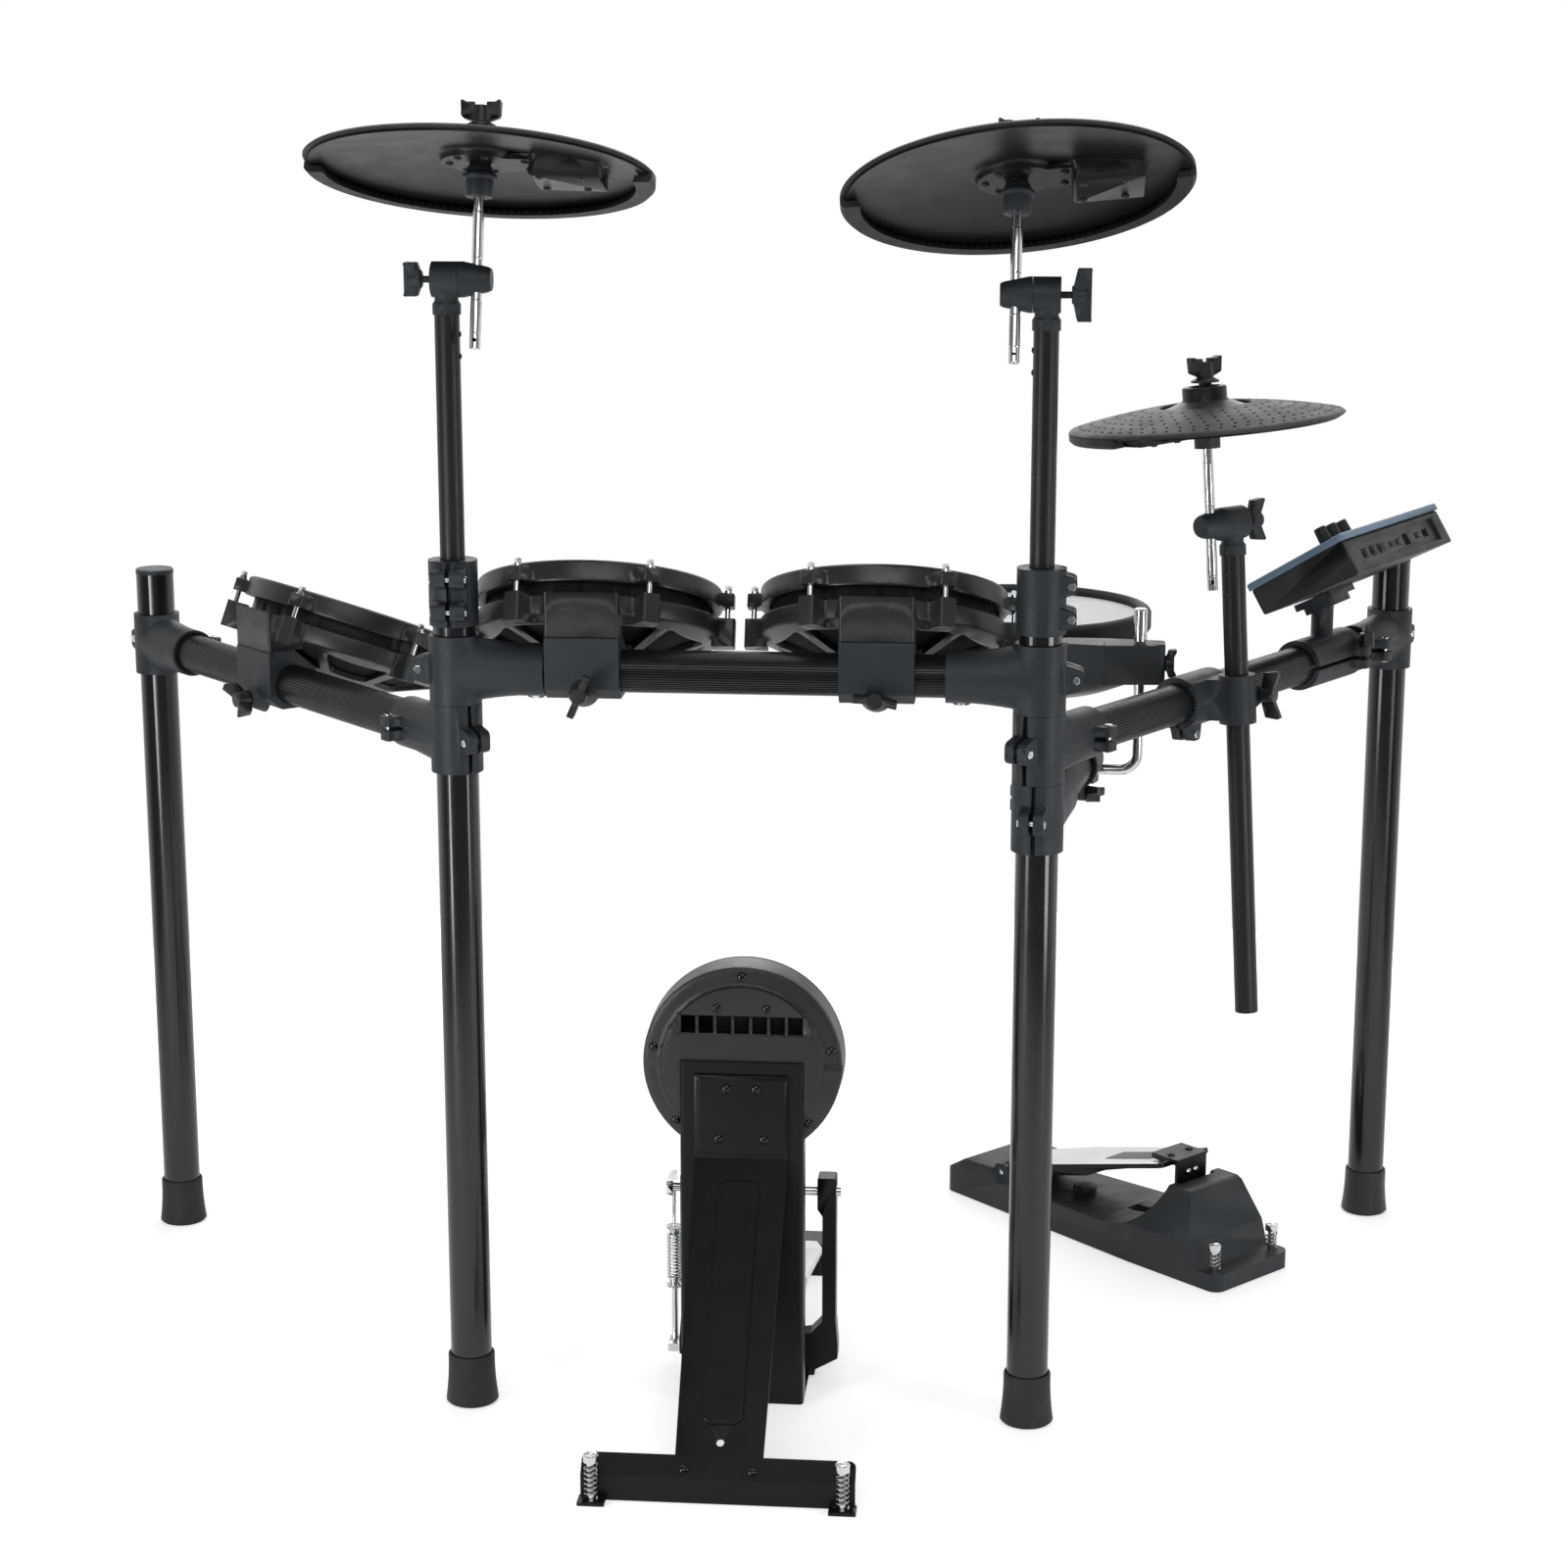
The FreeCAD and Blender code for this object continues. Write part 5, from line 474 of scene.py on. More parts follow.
ODD_SHELLS = {
    "centre_fittings": [(on_floor, RUBBER)],
    "left_wing_fittings": [(on_floor, RUBBER)],
    "right_wing_fittings": [(on_floor, RUBBER), (is_wing, KNOB)],
    "floor_anchors": [(is_spring, SPRING)],
    "crash_arm": [(is_short, MOULDED)],
    "ride_arm": [(is_short, MOULDED)],
    "hihat_arm": [(is_short, MOULDED)],
    "crash_rod": [(is_short, MOULDED)],
    "ride_rod": [(is_short, MOULDED)],
    "hihat_rod": [(is_short, MOULDED)],
    "pedal_beater": [(is_beater_head, FELT)],
    "pedal_frame": [(is_radius_rod, CHROME)],
    "tom_1_clamp": [(is_wing, KNOB)],
    "tom_2_clamp": [(is_wing, KNOB)],
    "tom_3_clamp": [(is_wing, KNOB)],
    "snare_arm_fittings": [(is_wing, KNOB)],
    "snare_bracket": [(is_wing, KNOB)],
    "module_mount": [(is_wing, KNOB)],
}
BLENDED = {"pedal_spring"}
LOOK = {node: dressed(node, ODD_SHELLS.get(node, ())) for node in sorted(frame["nodes"])}


# Small pieces

def closed_mesh(build):
    """Mesh from a function that shapes a bmesh, with doubles merged and faces turned outwards."""
    bm = bmesh.new()
    build(bm)
    bmesh.ops.remove_doubles(bm, verts=bm.verts, dist=1e-7)
    bmesh.ops.recalc_face_normals(bm, faces=bm.faces)
    mesh = bpy.data.meshes.new("shape")
    bm.to_mesh(mesh)
    bm.free()
    return mesh


def turned(bm, outline, steps=20):
    """Shape turned about Z from an outline of (radius, height) points in millimetres."""
    rows = [bm.verts.new((r * MM, 0, z * MM)) for r, z in outline]
    line = [bm.edges.new(pair) for pair in zip(rows, rows[1:])]
    bmesh.ops.spin(bm, geom=rows + line, cent=(0, 0, 0), axis=(0, 0, 1), angle=2 * math.pi, steps=steps,
                   use_merge=True)


def round_bar(bm, radius, low, high, segments=16):
    """Round bar along Z between two heights in millimetres."""
    turned(bm, [(0, low), (radius, low), (radius, high), (0, high)], segments)


def slab(bm, low, high):
    """Box between two corners in millimetres."""
    size = [(b - a) * MM for a, b in zip(low, high)]
    centre = [(a + b) / 2 * MM for a, b in zip(low, high)]
    bmesh.ops.create_cube(bm, size=1.0, matrix=Matrix.Translation(centre) @ Matrix.Diagonal((*size, 1)))


def cap_screw(bm, radius=3.4, height=1.9, key=1.7):
    """Round screw head with a hexagon socket."""
    turned(bm, [(0, height - 1.7), (key, height - 1.7), (key, height), (radius - 0.5, height),
                (radius, height - 0.5), (radius, -0.6), (0, -0.6)], 24)
    for vert in bm.verts:
        reach = math.hypot(vert.co.x, vert.co.y)
        if abs(reach - key * MM) < 1e-6:
            turn = math.atan2(vert.co.y, vert.co.x) % (math.pi / 3)
            share = math.cos(math.pi / 6) / math.cos(turn - math.pi / 6)
            vert.co.x *= share
            vert.co.y *= share


def hex_nut(bm, radius=4.2, height=1.3):
    """Hexagon nut with the screw's end standing out of it."""
    turned(bm, [(0, -0.6), (radius, -0.6), (radius, height - 0.6), (radius - 0.6, height), (0, height)], 6)
    round_bar(bm, 2.2, height - 1, height + 0.5, 12)


def pan_screw(bm, radius=3.6, height=2.0):
    """Low domed screw head with a round recess."""
    turned(bm, [(0, height * 0.45), (radius * 0.22, height * 0.5), (radius * 0.3, height),
                (radius * 0.62, height * 0.93), (radius * 0.9, height * 0.55), (radius, 0), (radius, -0.8),
                (0, -0.8)], 16)


def rivet(bm, radius=2.8, height=1.5):
    """Domed rivet."""
    turned(bm, [(0, height), (radius * 0.55, height * 0.86), (radius * 0.88, height * 0.45),
                (radius, -0.4), (0, -0.4)], 14)


def tension_head(bm):
    """Drum key head: washer, collar and square top."""
    round_bar(bm, 5.0, -0.4, 1.1, 18)
    round_bar(bm, 3.6, 0.8, 3.4, 16)
    turned(bm, [(0, 3.0), (3.1, 3.0), (3.1, 7.2), (2.5, 8.0), (0, 8.0)], 4)


def hole_disc_shade(bm):
    """Dark disc, painted shade that stands for a hole in a surface."""
    round_bar(bm, 1.6, -0.5, 0.08, 10)


def rounded_slab(bm, low, high, radius=1.2):
    """Box between two corners in millimetres, with its edges rounded."""
    slab(bm, low, high)
    bmesh.ops.bevel(bm, geom=bm.edges[:], offset=radius * MM, segments=2, profile=0.5,
                     material=-1, affect="EDGES")


def knurl(radius, length):
    """Sleeve of fine crossed points along Z."""
    def build(bm):
        around = KNURL_POINTS
        rows = round(length / KNURL_PITCH)
        bmesh.ops.create_cone(bm, cap_ends=False, segments=around, radius1=radius, radius2=radius, depth=length,
                              matrix=Matrix.Translation((0, 0, length / 2)))
        upright = [e for e in bm.edges if abs(e.verts[0].co.z - e.verts[1].co.z) > length / 2]
        bmesh.ops.subdivide_edges(bm, edges=upright, cuts=rows - 1, use_grid_fill=True)
        for vert in bm.verts:
            row = round(vert.co.z / length * rows)
            turn = round(math.atan2(vert.co.y, vert.co.x) / (2 * math.pi) * around)
            share = 1 + KNURL_RISE / radius * ((row + turn) % 2 if 0 < row < rows else -1)
            vert.co.x *= share
            vert.co.y *= share
    return build


def pieces(name, body, material, stamps):
    """One piece on a body from stamps: (mesh, matrix) pairs."""
    bm = bmesh.new()
    for shape, matrix in stamps:
        start = len(bm.verts)
        bm.from_mesh(shape)
        bm.verts.ensure_lookup_table()
        bmesh.ops.transform(bm, matrix=matrix, verts=bm.verts[start:])
    mesh = bpy.data.meshes.new(name)
    bm.to_mesh(mesh)
    bm.free()
    mesh.materials.append(material)
    for polygon in mesh.polygons:
        polygon.use_smooth = True
    mesh.set_sharp_from_angle(angle=SHARP)
    piece = bpy.data.objects.new(name, mesh)
    bpy.context.scene.collection.objects.link(piece)
    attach(piece, body)
    return piece


SURFACES = {}


def landing(node, start, way):
    """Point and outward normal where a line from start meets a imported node, or None."""
    if node not in SURFACES:
        mesh = LOOK[node].data
        SURFACES[node] = BVHTree.FromPolygons([v.co for v in mesh.vertices],
                                              [p.vertices for p in mesh.polygons])
    point, normal, _, _ = SURFACES[node].ray_cast(Vector(start), Vector(way))
    return (point, normal) if point is not None else None


def on_surface(node, spots, way):
    """Matrices that stand shapes on a node where lines along way from the spots meet it."""
    found = [landing(node, spot, way) for spot in spots]
    return [stand(point, normal) for point, normal in filter(None, found)]


CAP_SCREW = closed_mesh(cap_screw)
HEX_NUT = closed_mesh(hex_nut)
PAN_SCREW = closed_mesh(pan_screw)
BIG_SCREW = closed_mesh(lambda bm: pan_screw(bm, 4.3, 2.4))
RIVET = closed_mesh(rivet)
TENSION_HEAD = closed_mesh(tension_head)
HOLE_DISC_SHADE = closed_mesh(hole_disc_shade)
SHANK = closed_mesh(lambda bm: round_bar(bm, 2.6, -2.1, 2.1, 12))


def clamp_screw(at, way, grip):
    """Screw, nut and the shank in the slit of one clamp ear, as stamps."""
    way = Vector(way).normalized()
    return [(CAP_SCREW, stand(at + way * grip, way)), (HEX_NUT, stand(at - way * grip, -way)),
            (SHANK, stand(at, way))]


# Rack clamps
left_post = pivot("left_wing_swing")
right_post = pivot("right_wing_swing")
snare_post = pivot("snare_arm_swing")
left_way = -axis("tom_3_tilt")
right_way = axis("module_tilt")
snare_way = main_axes("snare_arm_bar")[0]
snare_way *= 1 if snare_way.y > 0 else -1
bar_z = pivot("tom_1_tilt").z
left_outer = box_centre("left_outer_post")
right_outer = box_centre("right_outer_post")


def tee_screws(post, height, way, ear):
    """Screws of one tee: through the sleeve's ears and the socket's; ear is (sideways, up)."""
    at = Vector((post.x, post.y, height))
    side = Z_AXIS.cross(way)
    out = side * ear[0] + Z_AXIS * ear[1]
    return (clamp_screw(at - way * SLEEVE_SCREW_OUT, side, EAR_GRIP)
            + clamp_screw(at + way * SOCKET_SCREW_ALONG + out * SOCKET_SCREW_OUT, way.cross(out), EAR_GRIP))


def collar_screws(post, out):
    """Two screws of the clamp on an inner post's top."""
    middle = (COLLAR_BASE + COLLAR_TOP) / 2
    stamps = []
    for share in (-0.5, 0.5):
        at = Vector((post.x, post.y, middle + share * COLLAR_SCREW_PITCH)) + out * COLLAR_SCREW_OUT
        stamps += clamp_screw(at, Z_AXIS.cross(out), COLLAR_GRIP)
    return stamps


pieces("centre_clamp_screws", "rack", CHROME,
       tee_screws(left_post, bar_z, X_AXIS, (0.8, -0.6)) + tee_screws(right_post, bar_z, -X_AXIS, (-0.8, -0.6))
       + collar_screws(left_post, -Y_AXIS) + collar_screws(right_post, X_AXIS))
pieces("left_wing_clamp_screws", "left_wing", CHROME,
       tee_screws(left_post, left_post.z, left_way, (1, 0))
       + tee_screws(left_outer, left_post.z, -left_way, (1, 0)))
hihat_up = axis("hihat_height")
hihat_front = -right_way.cross(hihat_up)
cross = pivot("hihat_tilt")
cross_low = cross - hihat_up * (cross.z - right_post.z) / hihat_up.z
cross_bar = right_post + right_way * (cross_low - right_post).dot(right_way)
pieces("right_wing_clamp_screws", "right_wing", CHROME,
       tee_screws(right_post, right_post.z, right_way, (-1, 0))
       + tee_screws(right_outer, right_post.z, -right_way, (1, 0))
       + clamp_screw(cross_bar - right_way * CROSS_SCREW_ALONG - hihat_up * CROSS_SCREW_OUT, hihat_front,
                     EAR_GRIP))
pieces("snare_arm_clamp_screws", "snare_arm", CHROME,
       tee_screws(snare_post, snare_post.z, snare_way, (1, 0)))

# End caps of the outer posts: their upward faces are painted lighter, a painted highlight for the light from above
for node in ("left_wing_fittings", "right_wing_fittings"):
    shown = LOOK[node].data
    shown.materials.append(CAP_TOP_LIGHT)
    cap_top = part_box(node)[1].z
    for polygon in shown.polygons:
        if polygon.center.z > cap_top - CAP_EDGE and polygon.normal.z > 0.5:
            polygon.material_index = len(shown.materials) - 1

# Cymbals
for name in ("crash", "ride", "hihat"):
    centre = pivot(name + "_swing")
    way = axis(name + "_nut_turn")
    tilt_way = axis(name + "_tilt")
    normal = main_axes(name + "_pad")[2]
    normal *= 1 if normal.z > 0 else -1
    across = (tilt_way - normal * normal.dot(tilt_way)).normalized()
    deep = normal.cross(across)
    hub = centre - way * (centre - pivot(name + "_tilt")).dot(way)
    below_clamp = closed_mesh(knurl(ROD_R, ROD_TAIL - KNURL_START - KNURL_END_GAP))
    above_clamp = closed_mesh(knurl(ROD_R, KNURL_TOP - KNURL_START))
    pieces(name + "_rod_knurl", name + "_rod", CHROME,
           [(below_clamp, stand(hub - way * KNURL_START, -way)),
            (above_clamp, stand(hub + way * KNURL_START, way))])
    # Painted shade: a dark bar across the rod stands for its slot and the shade inside it; nothing is cut.
    slot_shade = closed_mesh(lambda bm: round_bar(bm, ROD_SLOT_R, -ROD_SLOT_HALF, ROD_SLOT_HALF, 12))
    pieces(name + "_rod_slot_shade", name + "_rod", SHADE_IN_HOLES,
           [(slot_shade, stand(hub - way * (ROD_TAIL - ROD_SLOT_UP), Y_AXIS))])
    below = centre - normal * CYMBAL_BELOW
    ring = [below + (across * math.cos(a) + deep * math.sin(a)) * SEAT_SCREW_RING
            for a in map(math.radians, SEAT_SCREW_TURNS)]
    ring += [below + (across * x + deep * y * half) * MM for x, y in BOX_SCREWS[name] for half in (-1, 1)]
    pieces(name + "_shell_screws", name + "_cymbal", KNOB,
           [(PAN_SCREW, m) for m in on_surface(name + "_shell", ring, normal)])
    arm_up = axis(name + "_height")
    side = 1 if (hub - pivot(name + "_tilt")).dot(tilt_way) > 0 else -1
    pieces(name + "_arm_rivets", name + "_arm", KNOB,
           [(RIVET, stand(pivot(name + "_tilt") - arm_up * drop + tilt_way * side * ARM_R, tilt_way * side))
            for drop in RIVET_DROPS])

    span, height, thick = NUT_WING
    nut = name + "_wing_nut"
    wing_way = main_axes(nut)[0]
    top = max(Vector(p).dot(way) for p in points_of(nut)) - centre.dot(way)
    blade = closed_mesh(lambda bm: rounded_slab(
        bm, (ROD_R / MM + WING_SKIN, WING_SKIN - thick / 2, height * BLADE_FOOT),
        (span / 2 - BLADE_END_GAP, thick / 2 - WING_SKIN, height - BLADE_TOP_GAP)))
    foot = centre + way * (top - height * MM)
    pieces(name + "_nut_blades", NODE_BODY[nut], KNOB,
           [(blade, stand(foot, way, wing_way)), (blade, stand(foot, way, -wing_way))])
    if name in TILT_WING:
        span, height, thick = TILT_WING[name]
        away = tilt_way * -side
        tip = max((Vector(p) - pivot(name + "_tilt")).dot(away) for p in points_of(name + "_arm"))
        block = closed_mesh(lambda bm: rounded_slab(
            bm, (GRIP_END_GAP - span / 2, WING_SKIN - thick / 2, height * GRIP_FOOT),
            (span / 2 - GRIP_END_GAP, thick / 2 - WING_SKIN, height - GRIP_TOP_GAP)))
        pieces(name + "_tilt_grip", name + "_arm", MOULDED,
               [(block, stand(pivot(name + "_tilt") + away * (tip - height * MM), away, arm_up))])

# Perforated top of the hi-hat's pad: its holes are dark discs, painted shade, not cut holes
top_spots = []
for radius, count in PAD_HOLE_RINGS:
    for i in range(count):
        turn = 2 * math.pi * (i + (radius % 4) / 8) / count
        top_spots.append(centre + normal * CYMBAL_ABOVE
                         + (across * math.cos(turn) + deep * math.sin(turn)) * radius * MM)
pieces("hihat_pad_hole_shade", "hihat_cymbal", SHADE_IN_HOLES,
       [(HOLE_DISC_SHADE, m) for m in on_surface("hihat_pad", top_spots, -normal)])


# Drums

def drum_axes(node, x_way):
    """Head's top centre, its normal and the direction of its first lug."""
    normal = main_axes(node)[2]
    normal *= 1 if normal.z > 0 else -1
    middle = box_centre(node)
    top = max((Vector(p) - middle).dot(normal) for p in points_of(node))
    return middle + normal * (top - HEAD_THICK), normal, (x_way - normal * x_way.dot(normal)).normalized()


def tension_rods(name, body, head, x_way, circle, start, ear_top, ear_base, lug_top):
    """Tension rods round a drum: a head on each hoop ear and the rod down to its lug."""
    centre, normal, first = drum_axes(head, x_way)
    second = normal.cross(first)
    length = (ear_base - lug_top) / MM
    bar = closed_mesh(lambda bm: round_bar(bm, TENSION_R / MM, -length - SCREW_SINK, SCREW_SINK, 12))
    stamps = []
    for i in range(LUG_COUNT):
        turn = math.radians(start + i * 360 / LUG_COUNT)
        at = centre + (first * math.cos(turn) + second * math.sin(turn)) * circle
        stamps.append((bar, stand(at + normal * ear_base, normal)))
        stamps.append((TENSION_HEAD, stand(at + normal * ear_top, normal)))
    pieces(name, body, CHROME, stamps)


TOM_FOAM = closed_mesh(lambda bm: turned(bm, FOAM_OUTLINE, 48))
for number in (1, 2, 3):
    centre, normal, _ = drum_axes(f"tom_{number}_head", axis(f"tom_{number}_tilt"))
    pieces(f"tom_{number}_foam", f"tom_{number}", FOAM, [(TOM_FOAM, stand(centre, normal))])
    tension_rods(f"tom_{number}_tension_rods", f"tom_{number}", f"tom_{number}_head",
                 axis(f"tom_{number}_tilt"), TOM_LUG_CIRCLE, 0.0, TOM_EAR_TOP, TOM_EAR_BASE, TOM_LUG_TOP)

snare_centre, _, _ = drum_axes("snare_head", X_AXIS)
rod_length = (SNARE_EAR_BASE - SNARE_LUG_TOP) / MM
snare_rod = closed_mesh(lambda bm: round_bar(bm, TENSION_R / MM, -rod_length - SCREW_SINK, SCREW_SINK, 12))
snare_spots = []
for i in range(LUG_COUNT):
    turn = math.radians(30 + i * 360 / LUG_COUNT)
    snare_spots.append(snare_centre + Vector((math.cos(turn), math.sin(turn), 0)) * SNARE_LUG_CIRCLE)
pieces("snare_tension_rods", "snare", CHROME,
       [(snare_rod, stand(spot + Z_AXIS * SNARE_EAR_BASE)) for spot in snare_spots])
l_rod_low, l_rod_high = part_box("snare_l_rod")
cap_place = Vector((l_rod_high.x - L_ROD_CAP_R, (l_rod_low.y + l_rod_high.y) / 2,
                    l_rod_high.z - L_ROD_CAP_LENGTH - L_ROD_CAP_EDGE))
pieces("snare_l_rod_knurl", "snare_l_rod", CHROME,
       [(closed_mesh(knurl(L_ROD_CAP_R - KNURL_RISE, L_ROD_CAP_LENGTH)), stand(cap_place))])

# Kick tower
kick_x = box_centre("kick_stand").x
housing_low, housing_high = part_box("kick_pad_housing")
pad_z = (housing_low.z + housing_high.z) / 2
front_y = housing_low.y - FRONT_CLEAR
ring = [Vector((kick_x + HOUSING_SCREW_RING * math.sin(a), front_y, pad_z + HOUSING_SCREW_RING * math.cos(a)))
        for a in map(math.radians, HOUSING_SCREW_TURNS)]
ring += [Vector((kick_x + SLOT_SCREW_SIDE * half * MM, front_y, pad_z + SLOT_SCREW_UP * MM))
         for half in (-1, 1)]
pieces("kick_housing_screws", "rack", ZINC,
       [(BIG_SCREW, m) for m in on_surface("kick_pad_housing", ring, Y_AXIS)])
stand_low, stand_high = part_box("kick_stand")
leg_top = stand_high.z - LEG_TOP_DROP
leg_front = stand_low.y - FRONT_CLEAR
spots = [Vector((kick_x + x * half * MM, leg_front, leg_top - drop * MM))
         for x, drop in LEG_SCREWS for half in (-1, 1)]
spots += [Vector((kick_x + FOOT_BAR_SCREW[0] * half * MM, leg_front, FOOT_BAR_SCREW[1] * MM))
          for half in (-1, 1)]
pieces("kick_stand_screws", "rack", ZINC,
       [(BIG_SCREW, m) for m in on_surface("kick_stand", spots, Y_AXIS)])

# Hi-hat pedal
hh_side = axis("hihat_board_press")
hh_way = Z_AXIS.cross(hh_side)
hh_toe = pivot("hihat_board_press") - hh_way * HH_PIN_ALONG * MM


def hh_spot(along, sideways, height):
    """Point along the hi-hat pedal from its toe, across it and up, in millimetres."""
    spot = hh_toe + (hh_way * along + hh_side * sideways) * MM
    return Vector((spot.x, spot.y, height * MM))


def hh_pair(place):
    """Points on both sides of the pedal at (along, to each side, up)."""
    return [hh_spot(place[0], place[1] * half, place[2]) for half in (-1, 1)]


pieces("hihat_bracket_screws", "hihat_footboard", CHROME,
       [(PAN_SCREW, m) for m in on_surface("hihat_footboard", hh_pair(BRACKET_SCREW), hh_way)])
pieces("hihat_plate_screws", "hihat_footboard", KNOB,
       [(BIG_SCREW, m) for m in on_surface("hihat_footboard", hh_pair(PLATE_SCREW), -Z_AXIS)])
plate_point, plate_normal = landing("hihat_footboard", hh_spot(*BOARD_PLATE), -Z_AXIS)
plate_corner = [side / 2 for side in BOARD_PLATE_SIZE]
board_plate = closed_mesh(lambda bm: slab(bm, [-c for c in plate_corner], plate_corner))
pieces("hihat_board_plate", "hihat_footboard", KNOB,
       [(board_plate, stand(plate_point, plate_normal, hh_way))])
pin_marks = [landing("hihat_pedal_base", spot, way)
             for spot, way in zip(hh_pair(PIN_SCREW), (hh_side, -hh_side))]
pieces("hihat_pin_screws", "rack", CHROME,
       [(PAN_SCREW, stand(point, normal)) for point, normal in filter(None, pin_marks)])
deck = LOOK["hihat_footboard"].data
deck.materials.append(STEEL)
for polygon in deck.polygons:
    along = (polygon.center - hh_toe).dot(hh_way)
    if polygon.normal.z < 0.9 or along < TOE_BRACKET_END:
        polygon.material_index = 1

# Module
panel_faces = [p for p in LOOK["module_panel"].data.polygons if p.normal.z > 0.5]
module_up = max(panel_faces, key=lambda p: p.area).normal.copy()
module_wide = main_axes("module_panel")[0]
module_wide = (module_wide - module_up * module_wide.dot(module_up)).normalized()
module_deep = module_up.cross(module_wide)
panel_top = max(Vector(p).dot(module_up) for p in points_of("module_panel"))
face = LOOK["module_panel"].data
face.materials.append(GLASS)
face.materials.append(KEY)
for polygon in face.polygons:
    depth = panel_top - polygon.center.dot(module_up)
    if polygon.normal.dot(module_up) > 0.9 and WINDOW_DEPTHS[0] < depth < WINDOW_DEPTHS[1]:
        polygon.material_index = 1
    elif depth < KEY_DEPTH:
        polygon.material_index = 2
case = LOOK["module_case"].data
case.materials.append(RECESS)
case.materials.append(SHADE_IN_HOLES)
about_rear = module_deep if module_deep.y < 0 else -module_deep
rear_walls = [p for p in case.polygons if p.normal.dot(about_rear) > 0.95]
rear_way = max(rear_walls, key=lambda p: p.area).normal.copy()
rear_face = max(p.dot(rear_way) for p in (Vector(q) for q in points_of("module_case")))
# Recess faces of the rear wall: shallow ones take the recess finish, those deeper than the second depth are
# painted shade for the shade deep inside.
for polygon in case.polygons:
    inset = rear_face - polygon.center.dot(rear_way)
    if RECESS_DEPTHS[0] < inset < RECESS_DEPTHS[2] and abs(polygon.normal.dot(rear_way)) > 0.5:
        polygon.material_index = 1 if inset < RECESS_DEPTHS[1] else 2
for number in (1, 2, 3):
    top_of = max((Vector(p) for p in points_of(f"module_knob_{number}")), key=lambda p: p.dot(module_up))
    crown = pivot(f"module_knob_{number}_turn")
    crown += module_up * (top_of - crown).dot(module_up)
    pointer = closed_mesh(lambda bm: slab(bm, (-0.5, 1.0, -0.4), (0.5, 4.6, 0.15)))
    pieces(f"module_knob_{number}_pointer", f"module_knob_{number}", KEY,
           [(pointer, stand(crown, module_up, module_wide))])

# Return spring of the kick pedal
spring_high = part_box("pedal_spring")[1]
spring_top = box_centre("pedal_spring")
spring_top.z = spring_high.z - SPRING_HOOK
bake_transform(LOOK["pedal_spring"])


# Stage

ROOM_LIGHT = 0.35
FRONT_SHADE = 0.18
FRONT_SPAN = (-0.45, 0.25)
FLOOR_RADIUS = 1.6
FLOOR_GLOW = (0.8, 1.5, 0.5, 0.9)
MIRROR_GLOW = (0.8, 1.6, 0.45, 0.1)


def area_lamp(name, place, aim, size, power, colour=(1, 1, 1)):
    """Soft box that faces a point."""
    data = bpy.data.lights.new(name, "AREA")
    data.shape = "RECTANGLE"
    data.size, data.size_y = size
    data.energy = power
    data.color = colour
    lamp = bpy.data.objects.new(name, data)
    lamp.location = place
    lamp.rotation_euler = (Vector(aim) - Vector(place)).to_track_quat("-Z", "Y").to_euler()
    bpy.context.scene.collection.objects.link(lamp)
    return lamp


def white_room():
    world = bpy.data.worlds.new("studio")
    bpy.context.scene.world = world
    world.use_nodes = True
    tree = world.node_tree
    background = tree.nodes["Background"]
    background.inputs["Color"].default_value = (1, 1, 1, 1)
    parts = tree.nodes.new("ShaderNodeSeparateXYZ")
    tree.links.new(tree.nodes.new("ShaderNodeTexCoord").outputs["Object"], parts.inputs["Vector"])
    front = tree.nodes.new("ShaderNodeMapRange")
    front.inputs["From Min"].default_value, front.inputs["From Max"].default_value = FRONT_SPAN
    front.inputs["To Min"].default_value = FRONT_SHADE
    tree.links.new(parts.outputs["Y"], front.inputs["Value"])
    path = tree.nodes.new("ShaderNodeLightPath")
    mirrored = choose(tree, path.outputs["Is Glossy Ray"], ROOM_LIGHT, front.outputs["Result"])
    through = choose(tree, path.outputs["Is Transmission Ray"], mirrored, 1.0)
    seen = choose(tree, path.outputs["Is Camera Ray"], through, 1.0)
    tree.links.new(seen, background.inputs["Strength"])


def choose(tree, share, low, high):
    """Value between two, each a number or a socket."""
    node = tree.nodes.new("ShaderNodeMix")
    tree.links.new(share, node.inputs["Factor"])
    for socket, value in ((node.inputs["A"], low), (node.inputs["B"], high)):
        if isinstance(value, float):
            socket.default_value = value
        else:
            tree.links.new(value, socket)
    return node.outputs["Result"]


def fade(tree, distance, glow):
    """Level that runs between two values over a span of distance: (near, far, near level, far level)."""
    node = tree.nodes.new("ShaderNodeMapRange")
    for name, value in zip(("From Min", "From Max", "To Min", "To Max"), glow):
        node.inputs[name].default_value = value
    tree.links.new(distance, node.inputs["Value"])
    return node.outputs["Result"]


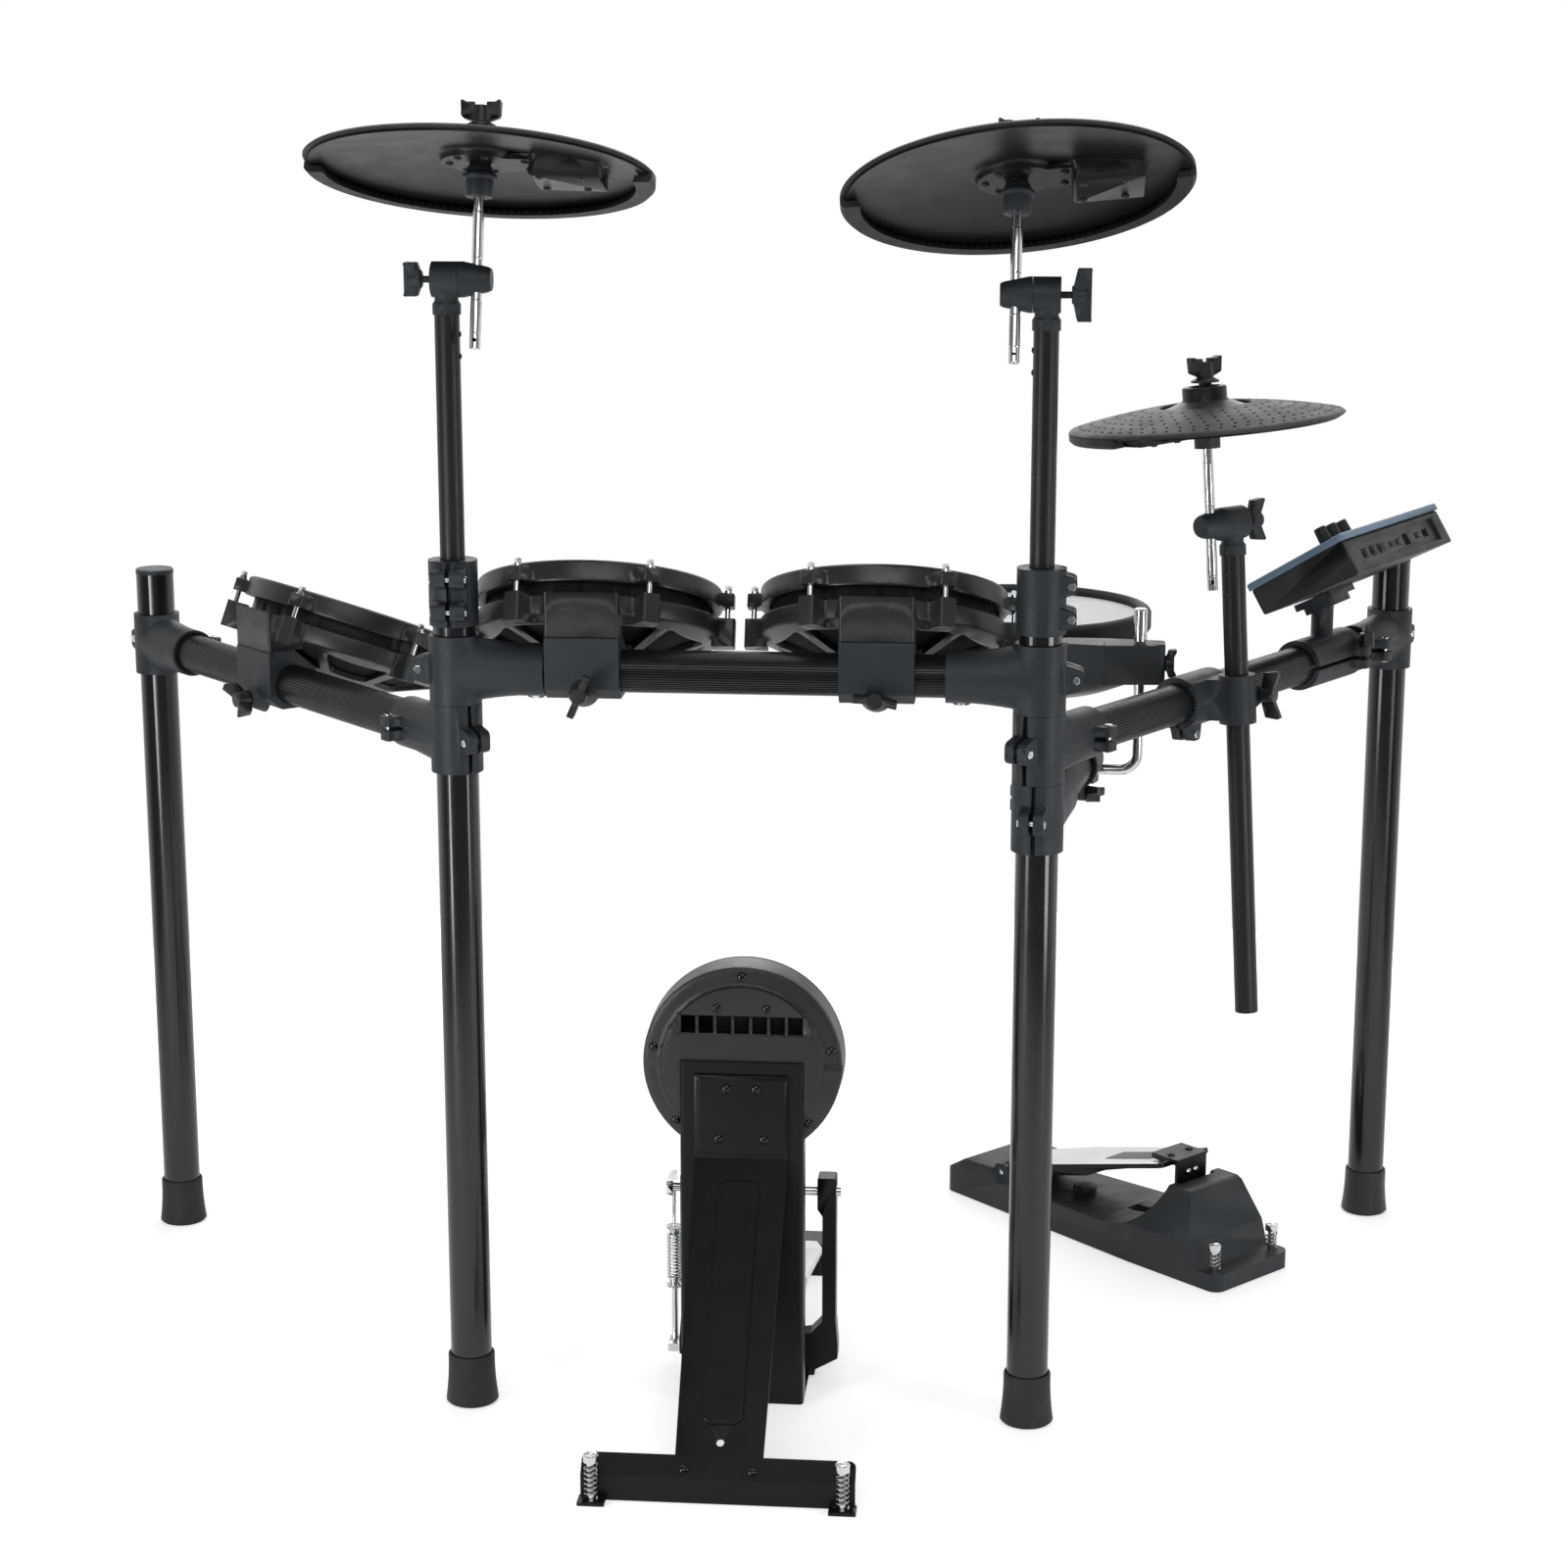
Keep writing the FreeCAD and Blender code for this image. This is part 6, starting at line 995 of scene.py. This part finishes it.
def white_floor():
    bm = bmesh.new()
    bmesh.ops.create_circle(bm, cap_ends=True, segments=96, radius=FLOOR_RADIUS)
    mesh = bpy.data.meshes.new("studio_floor")
    bm.to_mesh(mesh)
    bm.free()
    floor = bpy.data.objects.new("studio_floor", mesh)
    floor.location.z = cad_box[0].z - 0.0005
    bpy.context.scene.collection.objects.link(floor)
    material, tree, bsdf, coordinates = shader("studio_floor_white")
    bsdf.inputs["Base Color"].default_value = (0.8, 0.8, 0.8, 1)
    bsdf.inputs["Roughness"].default_value = 0.9
    bsdf.inputs["Specular IOR Level"].default_value = 0.1
    bsdf.inputs["Emission Color"].default_value = (1, 1, 1, 1)
    away = tree.nodes.new("ShaderNodeVectorMath")
    away.operation = "LENGTH"
    tree.links.new(coordinates, away.inputs[0])
    path = tree.nodes.new("ShaderNodeLightPath")
    mirrored = choose(tree, path.outputs["Is Glossy Ray"], 0.0, fade(tree, away.outputs["Value"], MIRROR_GLOW))
    through = choose(tree, path.outputs["Is Transmission Ray"], mirrored, FLOOR_GLOW[2])
    seen = choose(tree, path.outputs["Is Camera Ray"], through, fade(tree, away.outputs["Value"], FLOOR_GLOW))
    tree.links.new(seen, bsdf.inputs["Emission Strength"])
    mesh.materials.append(material)
    return floor


def set_camera():
    """Camera at the photograph's viewing angle."""
    data = bpy.data.cameras.new("camera")
    data.lens = CAMERA_LENS
    data.sensor_width = 36.0
    camera = bpy.data.objects.new("camera", data)
    camera.location = CAMERA_PLACE
    camera.rotation_euler = [math.radians(a) for a in CAMERA_TURN]
    bpy.context.scene.collection.objects.link(camera)
    bpy.context.scene.camera = camera


bpy.context.scene.view_settings.view_transform = "Standard"
white_room()
floor = white_floor()
middle = (0.0, 0.0, 0.6)
lamps = [
    area_lamp("strip_left", (-1.05, -1.45, 0.45), (-0.15, -0.2, 0.45), (0.3, 0.8), 11.0, (0.95, 0.98, 1.0)),
    area_lamp("strip_right", (1.5, -0.95, 0.45), (0.1, -0.2, 0.45), (0.28, 0.8), 7.0, (0.95, 0.98, 1.0)),
    area_lamp("front", (0.3, -3.2, 2.8), (0.0, 0.0, 0.7), (2.6, 1.3), 36.0),
    area_lamp("top", (0.0, 0.3, 3.2), middle, (2.6, 2.0), 26.0),
    area_lamp("back", (0.0, 2.8, 2.0), middle, (2.4, 1.4), 24.0),
]
set_camera()
